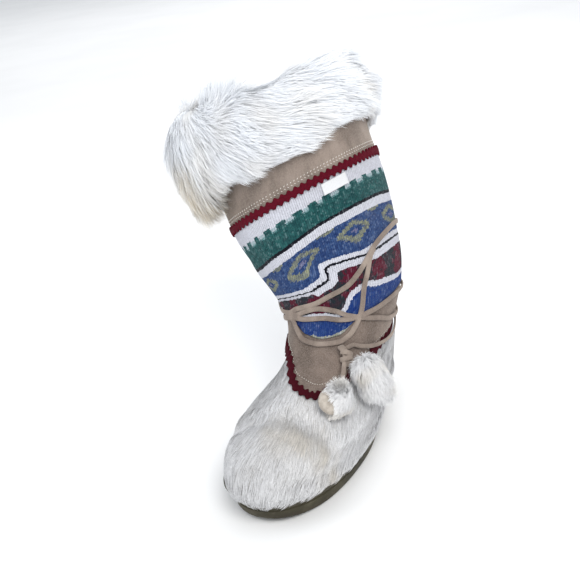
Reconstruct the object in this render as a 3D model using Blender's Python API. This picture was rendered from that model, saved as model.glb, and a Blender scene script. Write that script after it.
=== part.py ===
"""Apres-ski boot for a left foot, standing empty on its sole.

A hair-on hide foot and a slack knitted leg are one lasted upper with a rubber cup sole below it.
A suede ankle panel, the knitted sleeve and a suede top band are laid over the upper, two wavy
braids cover their joins, long fur rolls over the collar, and a suede lace with two fur pompoms is
wound round the ankle.

Frame: +Z up, toe towards -Y, the outer side of the foot towards +X. The origin is on the floor,
at the centre of the heel's flat.
"""

import bmesh
import bpy
import numpy as np
from mathutils import Euler, Vector

MM = 0.001

# ---------------------------------------------------------------- driving dimensions

FEATHER_LINE = 14 * MM      # height of the upper's lower edge on a level sole
FOOT_WALL = 4.0 * MM        # hide with its fleece lining
LEG_WALL = 2.0 * MM         # canvas and lining below the knit and the suede
CLEARANCE = 0.34 * MM       # between two pieces that meet
PANEL_CLEARANCE = 0.45 * MM  # below the ankle panel, whose lower edge runs across the rows
SUEDE = 1.4 * MM
KNIT = 2.2 * MM
BRAID = 1.2 * MM
BRAID_WIDTH = 10 * MM
BRAID_FACES = 48            # faces round a braid
BRAID_SEAT = 1.0 * MM       # a braid lies this far off the sheet below it, flat across a curve
LACE_WIDTH = 5 * MM
LACE_THICKNESS = 1.6 * MM
COLUMNS = 36                # faces round the boot; even, so that each column has one across from it

# Heights of the rows of faces, in millimetres; every sheet on the boot breaks at the same rows.
LEVELS = MM * np.array((14, 20, 27, 34, 42, 50, 57.5, 65, 72, 80, 89, 98, 108, 119, 131, 145, 165,
                        190, 225, 265, 305, 345))

# Level loops of the boot in millimetres, up from the feather line; the last one guides the fur
# above the collar. The rounds say how much of the length each end takes to reach full width.
LOOP_COLUMNS = ("height", "back", "front", "heel_half", "medial_half", "lateral_half",
                "heel_round", "inner_round", "outer_round", "toe_swing")
LOOPS = (
    (14, 33, -223, 34.0, 53.5, 48.0, 0.15, 0.64, 0.56, 9),
    (26, 37, -229, 39.5, 59.0, 54.5, 0.15, 0.64, 0.55, 10),
    (38, 39, -228, 41.5, 60.0, 57.5, 0.15, 0.63, 0.54, 10),
    (49, 40, -221, 43.0, 58.0, 57.5, 0.16, 0.62, 0.54, 9),
    (58, 40, -204, 44.0, 50.5, 55.0, 0.17, 0.60, 0.54, 8),
    (66, 41, -181, 45.0, 42.5, 52.5, 0.19, 0.58, 0.53, 6),
    (76, 41, -154, 43.5, 36.0, 51.0, 0.22, 0.56, 0.52, 4),
    (89, 42, -126, 42.0, 31.5, 53.0, 0.28, 0.54, 0.52, 2),
    (104, 44, -105, 43.5, 32.5, 59.0, 0.36, 0.52, 0.51, 1),
    (122, 47, -92, 49.0, 38.5, 66.0, 0.44, 0.50, 0.50, 0),
    (145, 52, -86, 59.5, 51.5, 72.0, 0.50, 0.50, 0.50, 0),
    (175, 57, -84, 68.5, 65.0, 75.0, 0.50, 0.50, 0.50, 0),
    (215, 60, -82, 74.0, 72.5, 77.0, 0.50, 0.50, 0.50, 0),
    (255, 62, -82, 77.0, 77.0, 79.0, 0.50, 0.50, 0.50, 0),
    (295, 64, -82, 79.0, 79.0, 80.0, 0.50, 0.50, 0.50, 0),
    (345, 66, -83, 81.0, 81.0, 82.0, 0.50, 0.50, 0.50, 0),
)

# The empty leg leans inwards and back: its level loops follow a bent centre line.
LEAN_START = 80 * MM
LEAN_LENGTH = 80 * MM
LEAN_INWARD = np.radians(22)
LEAN_BACK = np.radians(16)
LEAN_CENTRE_Y = -18 * MM

HEEL_LIFT = 4 * MM          # the feather line is this much higher at the heel than at the ball
TOE_SPRING = 7 * MM
TREAD_SPRING = 9 * MM       # the underside rises more than the feather line, so the toe is thinner
BALL_Y = -150 * MM
TOE_Y = -236 * MM
HEEL_Y = -10 * MM


def smooth(t):
    t = np.clip(t, 0, 1)
    return t * t * (3 - 2 * t)


def through(knots, values, at):
    """A smooth curve through a column's values that never overshoots them."""
    step = np.diff(knots)
    rise = np.diff(values) / step
    slope = np.zeros(len(knots))
    for i in range(1, len(knots) - 1):
        if rise[i - 1] * rise[i] > 0:
            before, after = 2 * step[i] + step[i - 1], step[i] + 2 * step[i - 1]
            slope[i] = (before + after) / (before / rise[i - 1] + after / rise[i])
    slope[0], slope[-1] = rise[0], rise[-1]
    at = np.clip(at, knots[0], knots[-1])
    i = np.clip(np.searchsorted(knots, at, side="right") - 1, 0, len(knots) - 2)
    t = (at - knots[i]) / step[i]
    return ((2 * t**3 - 3 * t**2 + 1) * values[i] + (t**3 - 2 * t**2 + t) * step[i] * slope[i]
            + (3 * t**2 - 2 * t**3) * values[i + 1] + (t**3 - t**2) * step[i] * slope[i + 1])


def loop_table():
    rounds = ("heel_round", "inner_round", "outer_round")
    return {name: np.array([row[i] * (1 if name in rounds else MM) for row in LOOPS], float)
            for i, name in enumerate(LOOP_COLUMNS)}


TABLE = loop_table()


def end_round(t, power=2.15):
    return (1 - np.clip(1 - t, 0, 1) ** power) ** (1 / power)


def rise(y):
    """How far the feather line is above its level height: the heel's lift and the toe's spring."""
    heel = HEEL_LIFT * smooth((y - BALL_Y) / (HEEL_Y - BALL_Y))
    toe = TOE_SPRING * np.clip((BALL_Y - y) / (BALL_Y - TOE_Y), 0, 1.2) ** 2
    return heel + toe


def upright(height, turn):
    """A point of the boot before its leg leans. turn: 0 back of the heel, 0.25 outer side, 0.5 toe."""
    height, turn = np.broadcast_arrays(np.asarray(height, float), np.asarray(turn, float))
    row = {name: through(TABLE["height"], TABLE[name], height) for name in LOOP_COLUMNS[1:]}
    angle = 2 * np.pi * turn
    along = (1 - np.cos(angle)) / 2
    outer = np.sin(angle) >= 0
    ball = np.where(outer, row["lateral_half"], row["medial_half"])
    toe_round = np.where(outer, row["outer_round"], row["inner_round"])
    heel_end = row["heel_round"] * 0.6
    widening = smooth((along - heel_end) / (toe_round - heel_end))
    half = row["heel_half"] + (ball - row["heel_half"]) * widening
    half = half * end_round(along / row["heel_round"]) * end_round((1 - along) / (1 - toe_round))
    x = np.where(outer, half, -half) - row["toe_swing"] * np.clip((along - 0.35) / 0.65, 0, 1) ** 1.7
    y = row["back"] + (row["front"] - row["back"]) * along
    z = height + rise(y) * (1 - smooth((height - 20 * MM) / (60 * MM)))
    return np.stack([x, y, z], -1)


def leaned(points):
    """The points carried along the leg's bent centre line: an arc, and above it a straight run."""
    tangent = np.array([-np.tan(LEAN_INWARD), np.tan(LEAN_BACK)])
    full = np.arctan(np.hypot(*tangent))
    away = tangent / np.hypot(*tangent)
    radius = LEAN_LENGTH / full
    climbed = np.clip(points[..., 2] - LEAN_START, 0, None)
    angle = full * np.clip(climbed / LEAN_LENGTH, 0, 1)
    past = np.clip(climbed - LEAN_LENGTH, 0, None)
    x, y = points[..., 0], points[..., 1] - LEAN_CENTRE_Y
    along = x * away[0] + y * away[1]
    shifted = radius * (1 - np.cos(angle)) + past * np.sin(full) + along * np.cos(angle)
    base = np.minimum(points[..., 2], LEAN_START)
    lift = radius * np.sin(angle) + past * np.cos(full) - along * np.sin(angle)
    return np.stack([x + (shifted - along) * away[0],
                     y + (shifted - along) * away[1] + LEAN_CENTRE_Y,
                     base + lift], -1)


def skin(height, turn, out=0.0):
    """A point on the boot's outer form, or out from it along its normal."""
    height, turn = np.broadcast_arrays(np.asarray(height, float), np.asarray(turn, float))
    point = leaned(upright(height, turn))
    if np.all(np.asarray(out) == 0):
        return point
    low = np.clip(height - 0.5 * MM, TABLE["height"][0], TABLE["height"][-1] - 1 * MM)
    up = leaned(upright(low + 1 * MM, turn)) - leaned(upright(low, turn))
    round_ = leaned(upright(height, turn + 0.002)) - leaned(upright(height, turn - 0.002))
    normal = np.cross(up, round_)
    normal /= np.linalg.norm(normal, axis=-1, keepdims=True)
    return point + normal * np.asarray(out, float)[..., None]


def on_rows(height, turn, out):
    """The skin read straight between two rows, so that sheets with the same rows stay parallel."""
    height, turn = np.broadcast_arrays(np.asarray(height, float), np.asarray(turn, float))
    i = np.clip(np.searchsorted(LEVELS, height, side="right") - 1, 0, len(LEVELS) - 2)
    t = ((height - LEVELS[i]) / (LEVELS[i + 1] - LEVELS[i]))[..., None]
    out = np.broadcast_to(out, height.shape)
    return skin(LEVELS[i], turn, out) * (1 - t) + skin(LEVELS[i + 1], turn, out) * t


# ---------------------------------------------------------------- lines round the boot

# Lower edge of the suede ankle panel, with its tongue-like lobe on the instep: (turn, millimetres).
LOBE_LINE = ((0.00, 97), (0.12, 94), (0.21, 91), (0.28, 90), (0.335, 87.5), (0.385, 82), (0.44, 79),
             (0.49, 82.5), (0.52, 86.5), (0.555, 94), (0.61, 98), (0.72, 99), (0.86, 99))
# Where the panel ends and the knitted sleeve begins; it dips on the instep.
ANKLE_LINE = ((0.00, 127), (0.13, 126), (0.22, 123), (0.29, 118), (0.36, 114.5), (0.395, 111),
              (0.425, 105.5), (0.46, 105), (0.50, 109), (0.54, 116), (0.62, 121), (0.75, 124),
              (0.88, 126))
BRAID_MEAN = 219 * MM       # the slack leg's level lines rise towards the outer back
BRAID_TILT = 11 * MM
TILT_TURN = 0.13
# The leg's top edge above the upper braid; the slack mouth stands higher on the inner side.
COLLAR_ABOVE_BRAID = ((0.00, 59), (0.12, 55), (0.25, 57), (0.38, 57), (0.50, 62), (0.60, 72),
                      (0.70, 82), (0.80, 84), (0.90, 73))


def round_columns(table, turn):
    """The columns of a closed table (turn, value, value, ...) read smoothly at a turn."""
    rows = np.array(table, float)
    turns = np.concatenate([rows[-3:, 0] - 1, rows[:, 0], rows[:3, 0] + 1])
    at = np.asarray(turn, float) % 1
    return [through(turns, np.concatenate([column[-3:], column, column[:3]]), at)
            for column in rows.T[1:]]


def lobe_line(turn):
    return round_columns(LOBE_LINE, turn)[0] * MM


def ankle_line(turn):
    return round_columns(ANKLE_LINE, turn)[0] * MM


def braid_line(turn):
    return BRAID_MEAN + BRAID_TILT * np.cos(2 * np.pi * (np.asarray(turn, float) - TILT_TURN))


def collar_line(turn):
    return braid_line(turn) + round_columns(COLLAR_ABOVE_BRAID, turn)[0] * MM


def turns():
    return np.arange(COLUMNS) / COLUMNS


# ---------------------------------------------------------------- building blocks

PARTS = "apres_ski_boot"
CUTTERS = "cutters"


def material(name, colour, roughness):
    """A plain finish; colour is in the 0 to 1 display scale."""
    made = bpy.data.materials.new(name)
    made.use_nodes = True
    shader = made.node_tree.nodes["Principled BSDF"]
    shader.inputs["Base Color"].default_value = (*(c**2.2 for c in colour), 1)
    shader.inputs["Roughness"].default_value = roughness
    shader.inputs["Metallic"].default_value = 0
    made.diffuse_color = (*colour, 1)
    return made


def new_object(name, mesh, finish=None):
    """An object of its own in the parts' collection, or without a finish, among the cutters."""
    made = bpy.data.objects.new(name, mesh)
    bpy.data.collections[PARTS if finish else CUTTERS].objects.link(made)
    if finish:
        mesh.materials.append(finish)
        mesh.shade_smooth()
        mesh.set_sharp_from_angle(angle=np.radians(50))
    else:
        made.hide_render = True
        made.display_type = "WIRE"
    return made


def from_bmesh(name, bm, finish=None):
    mesh = bpy.data.meshes.new(name)
    bm.to_mesh(mesh)
    bm.free()
    return new_object(name, mesh, finish)


def add_ring(bm, points):
    return [bm.verts.new(p) for p in points]


def bridge_rings(bm, lower, upper):
    """Faces between two rings of the same count, facing out when the rings climb."""
    for j in range(len(lower)):
        k = (j + 1) % len(lower)
        bm.faces.new((lower[j], upper[j], upper[k], lower[k]))


def floor_strip(bm, ring, down):
    """A flat cap across the boot: each column is joined to the one on the other side of the foot."""
    half = COLUMNS // 2
    for j in range(half):
        k = j + 1
        corners = [ring[j], ring[k], ring[(COLUMNS - k) % COLUMNS], ring[(COLUMNS - j) % COLUMNS]]
        corners = list(dict.fromkeys(corners))
        bm.faces.new(corners if down else corners[::-1])


def sheet(name, low, high, under, over, finish):
    """A hollow sleeve of the boot's skin between two closed lines, from `under` to `over` out of it.

    Each column is a run of points at the low line, at every row between, and at the high line.
    `under` may be a function of the height.
    """
    bm = bmesh.new()
    low, high = np.broadcast_to(low, COLUMNS), np.broadcast_to(high, COLUMNS)
    heights = [np.array([a, *LEVELS[(LEVELS > a + 0.8 * MM) & (LEVELS < b - 0.8 * MM)], b])
               for a, b in zip(low, high)]
    walls = [[add_ring(bm, on_rows(heights[j], turn, out(heights[j]) if callable(out) else out))
              for j, turn in enumerate(turns())] for out in (over, under)]
    for j in range(COLUMNS):
        k = (j + 1) % COLUMNS
        for wall, flipped in zip(walls, (False, True)):
            i = m = 0
            a, b = heights[j], heights[k]
            while i < len(a) - 1 or m < len(b) - 1:
                climbs_first = m == len(b) - 1 or (i < len(a) - 1 and a[i + 1] <= b[m + 1])
                if climbs_first:
                    face = (wall[j][i], wall[j][i + 1], wall[k][m])
                    i += 1
                else:
                    face = (wall[j][i], wall[k][m + 1], wall[k][m])
                    m += 1
                bm.faces.new(face[::-1] if flipped else face)
        outer, inner = walls
        bm.faces.new((outer[j][-1], inner[j][-1], inner[k][-1], outer[k][-1]))
        bm.faces.new((outer[j][0], outer[k][0], inner[k][0], inner[j][0]))
    return from_bmesh(name, bm, finish)


# ---------------------------------------------------------------- sole and insole

# Side of the cup sole, up from the tread. Columns: the line that a row follows, millimetres above
# it, and millimetres out from the upper's feather loop. The slot is the joint of slab and cup.
SOLE_SIDE = (
    ("tread", 0.0, -1.2),
    ("tread", 1.4, 0.4),
    ("tread", 6.0, 2.0),
    ("feather", -3.0, 3.0),
    ("feather", -2.6, 2.3),
    ("feather", -1.6, 2.3),
    ("feather", -1.2, 3.2),
    ("feather", 4.9, 3.2),
    ("feather", 5.6, 2.6),
    ("feather", 5.6, 0.9),
    ("feather", 5.0, 0.35),
    ("feather", 0.0, 0.35),
    ("feather", -0.3, 0.35),
)
ARCH_FRONT, ARCH_BACK, ARCH_DEPTH = -112 * MM, -34 * MM, 2.5 * MM
TREAD_SPRING_Y = -178 * MM
HEEL_BEVEL_Y, HEEL_BEVEL = 22 * MM, 2 * MM
GROOVE_WIDTH, GROOVE_DEPTH = 3.5 * MM, 2.5 * MM
GROOVE_MARGIN = 8 * MM
GROOVE_WAVE, GROOVE_STEP = 2.5 * MM, 15 * MM
GROOVE_NEAR, GROOVE_BELOW = 4 * MM, 5 * MM   # how near the edge is read, how far cutters start below
FOREFOOT_GROOVES, FIRST_GROOVE_Y, GROOVE_PITCH = 8, -122 * MM, 12 * MM
HEEL_GROOVE_Y = (9 * MM, -9 * MM, -20 * MM)
INSOLE = 6 * MM


def outline(height, turn, grow):
    """The upright form at a level, grown sideways."""
    before, after = upright(height, turn - 0.002), upright(height, turn + 0.002)
    tangent = (after - before)[..., :2]
    tangent /= np.linalg.norm(tangent, axis=-1, keepdims=True)
    point = upright(height, turn)
    point[..., 0] -= tangent[..., 1] * grow
    point[..., 1] += tangent[..., 0] * grow
    return point


def tread(y):
    """The underside's height: flat at heel and ball, with the arch, the toe spring and a heel bevel."""
    t = np.clip((y - ARCH_FRONT) / (ARCH_BACK - ARCH_FRONT), 0, 1)
    arch = ARCH_DEPTH * np.sin(np.pi * t) ** 2
    spring = TREAD_SPRING * np.clip((TREAD_SPRING_Y - y) / (TREAD_SPRING_Y - TOE_Y), 0, 1) ** 1.6
    bevel = HEEL_BEVEL * np.clip((y - HEEL_BEVEL_Y) / (15 * MM), 0, 1)
    return arch + spring + bevel


def make_outsole(finish):
    bm = bmesh.new()
    rings = []
    for line, above, out in SOLE_SIDE:
        above, out = above * MM, out * MM
        points = outline(FEATHER_LINE + (above if line == "feather" else 0), turns(), out)
        if line == "tread":
            points[:, 2] = tread(points[:, 1]) + above
        rings.append(add_ring(bm, points))
    for lower, upper in zip(rings, rings[1:]):
        bridge_rings(bm, lower, upper)
    floor_strip(bm, rings[0], down=True)
    floor_strip(bm, rings[-1], down=False)
    sole = from_bmesh("outsole", bm, finish)
    cut = sole.modifiers.new("lugs", "BOOLEAN")
    cut.operation = "DIFFERENCE"
    cut.object = make_grooves()
    return sole


def make_grooves():
    """Wavy channels across the tread, which leave the lugs between them."""
    bm = bmesh.new()
    places = [FIRST_GROOVE_Y - i * GROOVE_PITCH for i in range(FOREFOOT_GROOVES)] + [*HEEL_GROOVE_Y]
    edge = outline(FEATHER_LINE, np.linspace(0, 1, 401), 0.0)
    for y in places:
        near = np.abs(edge[:, 1] - y) < GROOVE_NEAR
        right = edge[near & (edge[:, 0] > 0), 0].min() - GROOVE_MARGIN
        left = edge[near & (edge[:, 0] < 0), 0].max() + GROOVE_MARGIN
        steps = max(2, int(round((right - left) / GROOVE_STEP)))
        rail = np.linspace(left, right, steps + 1)
        wave = y + GROOVE_WAVE * (np.arange(steps + 1) % 2 - 0.5)
        floor = tread(np.array([y]))[0]
        bottom = [[bm.verts.new((x, w + side * GROOVE_WIDTH / 2, floor - GROOVE_BELOW)) for side in (-1, 1)]
                  for x, w in zip(rail, wave)]
        faces = [bm.faces.new((a[0], a[1], b[1], b[0])) for a, b in zip(bottom, bottom[1:])]
        raised = bmesh.ops.extrude_face_region(bm, geom=faces)["geom"]
        corners = [v for v in raised if isinstance(v, bmesh.types.BMVert)]
        bmesh.ops.translate(bm, verts=corners, vec=(0, 0, GROOVE_BELOW + GROOVE_DEPTH))
    bmesh.ops.recalc_face_normals(bm, faces=bm.faces)
    return from_bmesh("groove_cutter", bm)


INSOLE_CLEARANCE, INSOLE_UNDERCUT, INSOLE_EDGE = 1.1 * MM, 0.6 * MM, 1.0 * MM


def make_insole(finish):
    bm = bmesh.new()
    inset = -(FOOT_WALL + INSOLE_CLEARANCE)
    rows = ((0.0, inset - INSOLE_UNDERCUT), (INSOLE_EDGE, inset), (INSOLE - INSOLE_EDGE, inset),
            (INSOLE, inset - INSOLE_EDGE))
    rings = [add_ring(bm, outline(FEATHER_LINE + above, turns(), grow)) for above, grow in rows]
    for lower, upper in zip(rings, rings[1:]):
        bridge_rings(bm, lower, upper)
    floor_strip(bm, rings[0], down=True)
    floor_strip(bm, rings[-1], down=False)
    return from_bmesh("insole", bm, finish)


# ---------------------------------------------------------------- upper and what is laid over it

def upper_inside(height):
    """The upper's inner face, out from the skin: the wall thins from the foot to the leg."""
    return -(FOOT_WALL + (LEG_WALL - FOOT_WALL) * smooth((height - 90 * MM) / (40 * MM)))


def make_upper(finish):
    return sheet("upper", FEATHER_LINE, collar_line(turns()), upper_inside, 0.0, finish)


def make_overlays(suede, knit):
    """The sheets sewn over the upper, each from one line round the boot to the next."""
    at = turns()
    seam = CLEARANCE / 2
    sheet("ankle_panel", lobe_line(at), ankle_line(at) - seam,
          PANEL_CLEARANCE, PANEL_CLEARANCE + SUEDE, suede)
    sheet("knit_sleeve", ankle_line(at) + seam, braid_line(at) - seam, CLEARANCE, CLEARANCE + KNIT, knit)
    sheet("top_band", braid_line(at) + seam, collar_line(at), CLEARANCE, CLEARANCE + SUEDE, suede)


def surface_steps(height, turn, along, across):
    """The change of height and turn that moves a point by so much along a line and across it."""
    d = 0.5 * MM
    by_height = (skin(height + d, turn) - skin(height - d, turn)) / (2 * d)
    by_turn = (skin(height, turn + 0.001) - skin(height, turn - 0.001)) / 0.002
    normal = np.cross(by_height, by_turn)
    normal /= np.linalg.norm(normal, axis=-1, keepdims=True)
    side = np.cross(along, normal)
    side *= across / np.linalg.norm(side, axis=-1, keepdims=True)
    hh, ht, tt = ((a * b).sum(-1) for a, b in ((by_height, by_height), (by_height, by_turn),
                                               (by_turn, by_turn)))
    sh, st = (side * by_height).sum(-1), (side * by_turn).sum(-1)
    scale = hh * tt - ht * ht
    return (tt * sh - ht * st) / scale, (hh * st - ht * sh) / scale


def make_braid(name, line, under, finish):
    """A flat braid ring, BRAID_WIDTH wide along the skin, centred on a line round the boot."""
    count = BRAID_FACES
    turn = np.arange(count) / count
    height = line(turn)
    centre = skin(height, turn)
    along = np.roll(centre, -1, axis=0) - np.roll(centre, 1, axis=0)
    bm = bmesh.new()
    rings = []
    for across, out in ((-1, under), (-1, under + BRAID), (1, under + BRAID), (1, under)):
        dh, dt = surface_steps(height, turn, along, -across * BRAID_WIDTH / 2)
        rings.append(add_ring(bm, on_rows(height + dh, turn + dt, out)))
    for lower, upper in zip(rings, rings[1:] + rings[:1]):
        bridge_rings(bm, lower, upper)
    bmesh.ops.recalc_face_normals(bm, faces=bm.faces)
    return from_bmesh(name, bm, finish)


# ---------------------------------------------------------------- fur collar

# The roll's section in millimetres: up the outside from the lower edge, over the crest, down the
# inside, and back through the hollow of the folded pelt, which the leg's edge stands in. Columns:
# above the collar's edge, out of the skin, then how far below and within that place the point lies
# however full the roll is, and whether locks grow there.
FUR_SECTION = (
    (-24, 2.3, 0, 0, 0),
    (-28, 8, 0, 0, 1),
    (-25, 14, 0, 0, 1),
    (-12, 18.5, 0, 0, 1),
    (3, 18.5, 0, 0, 1),
    (17, 12.5, 0, 0, 1),
    (24, 3, 0, 0, 1),
    (22, -8, 0, 0, 1),
    (10, -13, 0, 0, 1),
    (-5, -12, 0, 0, 1),
    (-13, -6, 0, 0, 0),
    (-12, -2.6, 0, 0, 0),
    (0, -2.6, 0, 0, 0),
    (10, -13, 0, -2.6, 0),
    (22, -8, 3, -1.8, 0),
    (17, 12.5, 2.4, 2, 0),
    (-2, 19, 0, 2.8, 0),
    (-25, 14, -3, 2.8, 0),
)
# Round the collar: turn, how far the crest stands up and how far the lower edge hangs down beyond
# the section in millimetres, and how full the roll is.
FUR_SHAPE = (
    (0.00, 5, 0, 0.95),
    (0.12, 5, 0, 0.90),
    (0.25, 12, -4, 0.85),
    (0.35, 14, -5, 0.95),
    (0.45, 9, 5, 1.00),
    (0.53, 17, 4, 1.10),
    (0.60, 18, 13, 1.45),
    (0.67, 18, 25, 1.70),
    (0.75, 25, 20, 1.45),
    (0.84, 28, 12, 1.15),
    (0.92, 16, 4, 0.95),
)
LOCK_HEIGHT = 5.5 * MM
LOCK_FALL = 6 * MM


def make_fur_collar(finish):
    bm = bmesh.new()
    turn = turns()
    edge = collar_line(turn)
    crest, drop, fullness = round_columns(FUR_SHAPE, turn)
    top = max(row[0] for row in FUR_SECTION)
    bottom = min(row[0] for row in FUR_SECTION)
    rings = []
    for above, out, below, within, locks in FUR_SECTION:
        free = locks or below or within
        lift = crest * np.clip(above / top, 0, 1) if free else 0
        spread = 1.0
        if free and out > 0:
            lift = lift - drop * np.clip(above / bottom, 0, 1)
            spread = fullness
        rings.append(add_ring(bm, skin(edge + (above + lift - below) * MM, turn,
                                       (out * spread - within) * MM)))
    lock_faces = []
    for i, (lower, upper) in enumerate(zip(rings, rings[1:] + rings[:1])):
        before = set(bm.faces)
        bridge_rings(bm, lower, upper)
        if FUR_SECTION[i][-1] and FUR_SECTION[(i + 1) % len(rings)][-1]:
            lock_faces += [face for face in bm.faces if face not in before]
    bmesh.ops.recalc_face_normals(bm, faces=bm.faces)
    grow_locks(bm, lock_faces, LOCK_HEIGHT, fall=LOCK_FALL, seed=3)
    return from_bmesh("fur_collar", bm, finish)


def grow_locks(bm, faces, height, fall, seed):
    """Each face is drawn out to a pointed lock of fur that droops by `fall`."""
    chance = np.random.default_rng(seed)
    normals = [(face.normal.copy(), chance.uniform(0.55, 1.3)) for face in faces]
    tips = bmesh.ops.poke(bm, faces=faces)["verts"]
    for tip, (normal, size) in zip(tips, normals):
        tip.co += normal * height * size
        tip.co.z -= fall * size * (1 - abs(normal.z))


# ---------------------------------------------------------------- lace, knot and pompoms

# Runs of the suede lace round the ankle: (millimetres of height, turn) by hand, forwards round the
# boot. Past 1 a run has gone once round. `out` is how far its middle lies from the skin, one number
# or one for each point.
LACE_RUNS = {
    "lace_wraps": dict(closed=True, out=4.0, points=(
        (151, 0.342), (148, 0.354), (144, 0.368), (138, 0.390), (133, 0.414), (130, 0.449),
        (127, 0.482), (126, 0.524), (124, 0.551), (125, 0.60), (131, 0.68), (140, 0.76),
        (150, 0.86), (158, 0.96), (163, 1.06), (165, 1.16), (162, 1.24), (157, 1.30))),
    "lace_loop": dict(closed=False, out=4.1, points=(
        (150, 0.344), (146, 0.356), (138, 0.367), (128, 0.379), (116, 0.384), (109, 0.392),
        (104, 0.404), (101.5, 0.425), (102, 0.464), (105, 0.499), (112, 0.528), (120, 0.548),
        (124.5, 0.575))),
    "lace_low": dict(closed=True, out=3.95, points=(
        (122, 0.553), (119, 0.60), (116, 0.70), (113, 0.82), (110, 0.95), (107, 1.05),
        (104, 1.14), (102, 1.22), (103, 1.28), (108, 1.335), (112, 1.381), (116, 1.417),
        (120, 1.440), (124, 1.482), (122, 1.526))),
    "lace_high": dict(closed=False, out=4.2, points=(
        (158, -0.04), (151, 0.02), (139, 0.09), (127, 0.16), (119.5, 0.233), (116.5, 0.306),
        (114, 0.357), (113, 0.403), (114, 0.429), (117, 0.464), (118, 0.497), (120, 0.542),
        (119, 0.60))),
    "lace_side": dict(closed=False, out=(4.3, 5.2, 5.7, 5.7, 5.7, 5.7, 5.6, 5.2, 5.2), points=(
        (112.5, -0.07), (105.5, 0.02), (98, 0.10), (93, 0.18), (90, 0.25), (92, 0.31),
        (94, 0.345), (96.5, 0.376), (98, 0.392))),
}
ROUND_BOOT = 500                # millimetres that one turn counts for when points are spaced
RUN_POINTS = 34                 # points on a run that goes right round; the others have half
KNOT_PLACE = (93, 0.404, 8.0)   # height in millimetres, turn, out in millimetres
KNOT_HALF = (6.0, 5.0, 6.5)
LACE_END_WIDTH = 4 * MM
BORE_RADIUS = 4.0 * MM          # of the hole that each end runs into
# Routes of the lace's two ends in millimetres, from the knot into the pompoms.
LACE_ENDS = {
    "lace_end_front": ((36.7, -114.7, 101.1), (38.0, -122.5, 97.0), (39.6, -131.0, 92.9),
                       (41.2, -139.5, 89.0), (42.8, -148.5, 85.2)),
    "lace_end_side": ((42.0, -110.8, 100.7), (47.2, -113.7, 97.0), (52.4, -116.5, 92.3),
                      (57.5, -119.1, 86.8), (62.6, -121.6, 81.0)),
}
END_POINTS = 5
POMPOMS = {
    "pompom_front": dict(place=(70.5, 0.387, 18.0), half=(9.5, 9, 11.5), locks=4.5, seed=5,
                         end="lace_end_front", tilt=(0, 0, 0)),
    "pompom_side": dict(place=(77, 0.341, 21.6), half=(13.5, 11.5, 20), locks=5.0, seed=8,
                        end="lace_end_side", tilt=(0, np.radians(-16), 0)),
}
# The bare side of the pelt that the front pompom is cut from: a thick rounded disc.
PELT_PLACE = (70.5, 0.401, 17.5)
PELT_HALF = (11.5, 4.5, 11.5)
PELT_TILT = (np.radians(-28), 0, np.radians(8))

LABEL_WIDTH_TURN = (0.357, 0.409)   # a blank woven label hangs below the upper braid
LABEL_HANG = (5.6 * MM, 15.0 * MM)
LABEL_OUT = (CLEARANCE + KNIT + 0.5 * MM, CLEARANCE + KNIT + 1.1 * MM)


def spline(points, count, closed):
    """Even readings of a smooth curve through a short list of points (height, turn, out)."""
    points = np.array(points, float)
    if closed:
        wrap = np.array([0, 1.0, 0])
        points = np.concatenate([points[-3:] - wrap, points, points[:3] + wrap])
    steps = np.diff(points, axis=0) * (1, ROUND_BOOT, 0)
    knots = np.concatenate([[0], np.cumsum(np.linalg.norm(steps, axis=1))])
    first, last = (3, len(points) - 3) if closed else (0, len(points) - 1)
    at = np.linspace(knots[first], knots[last], count, endpoint=not closed)
    return np.stack([through(knots, column, at) for column in points.T], -1)


def make_ribbon(name, closed, out, points, finish=None):
    """A flat thong that lies on the skin along a run."""
    count = RUN_POINTS if closed else RUN_POINTS // 2
    outs = np.broadcast_to(out, len(points))
    run = spline([(*point, own) for point, own in zip(points, outs)], count, closed)
    height, turn, out = run[:, 0] * MM, run[:, 1], run[:, 2] * MM
    middle = on_rows(height, turn, out)
    normal = on_rows(height, turn, out + 1 * MM) - middle
    if closed:
        along = np.roll(middle, -1, axis=0) - np.roll(middle, 1, axis=0)
    else:
        along = np.gradient(middle, axis=0)
    side = np.cross(along, normal)
    normal /= np.linalg.norm(normal, axis=1, keepdims=True)
    side *= LACE_WIDTH / 2 / np.linalg.norm(side, axis=1, keepdims=True)
    normal *= LACE_THICKNESS / 2
    bm = bmesh.new()
    rails = [add_ring(bm, middle + a * side + b * normal) for a, b in ((-1, -1), (-1, 1), (1, 1), (1, -1))]
    spans = count if closed else count - 1
    for rail, other in zip(rails, rails[1:] + rails[:1]):
        for j in range(spans):
            k = (j + 1) % count
            bm.faces.new((rail[j], other[j], other[k], rail[k]))
    if not closed:
        bm.faces.new([rail[0] for rail in rails])
        bm.faces.new([rail[-1] for rail in reversed(rails)])
    bmesh.ops.recalc_face_normals(bm, faces=bm.faces)
    return from_bmesh(name, bm, finish)


def make_lace(finish):
    """The wound runs, joined where they cross into one piece."""
    wraps = None
    for name, run in LACE_RUNS.items():
        ribbon = make_ribbon(name, run["closed"], run["out"], run["points"],
                             None if wraps else finish)
        if wraps is None:
            wraps = ribbon
            continue
        join = wraps.modifiers.new(name, "BOOLEAN")
        join.operation = "UNION"
        join.solver = "MANIFOLD"
        join.object = ribbon
    return wraps


def place_on_boot(height, turn, out):
    """A point in metres off the skin, from millimetres and a turn."""
    return skin(height * MM, turn, out * MM)


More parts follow.
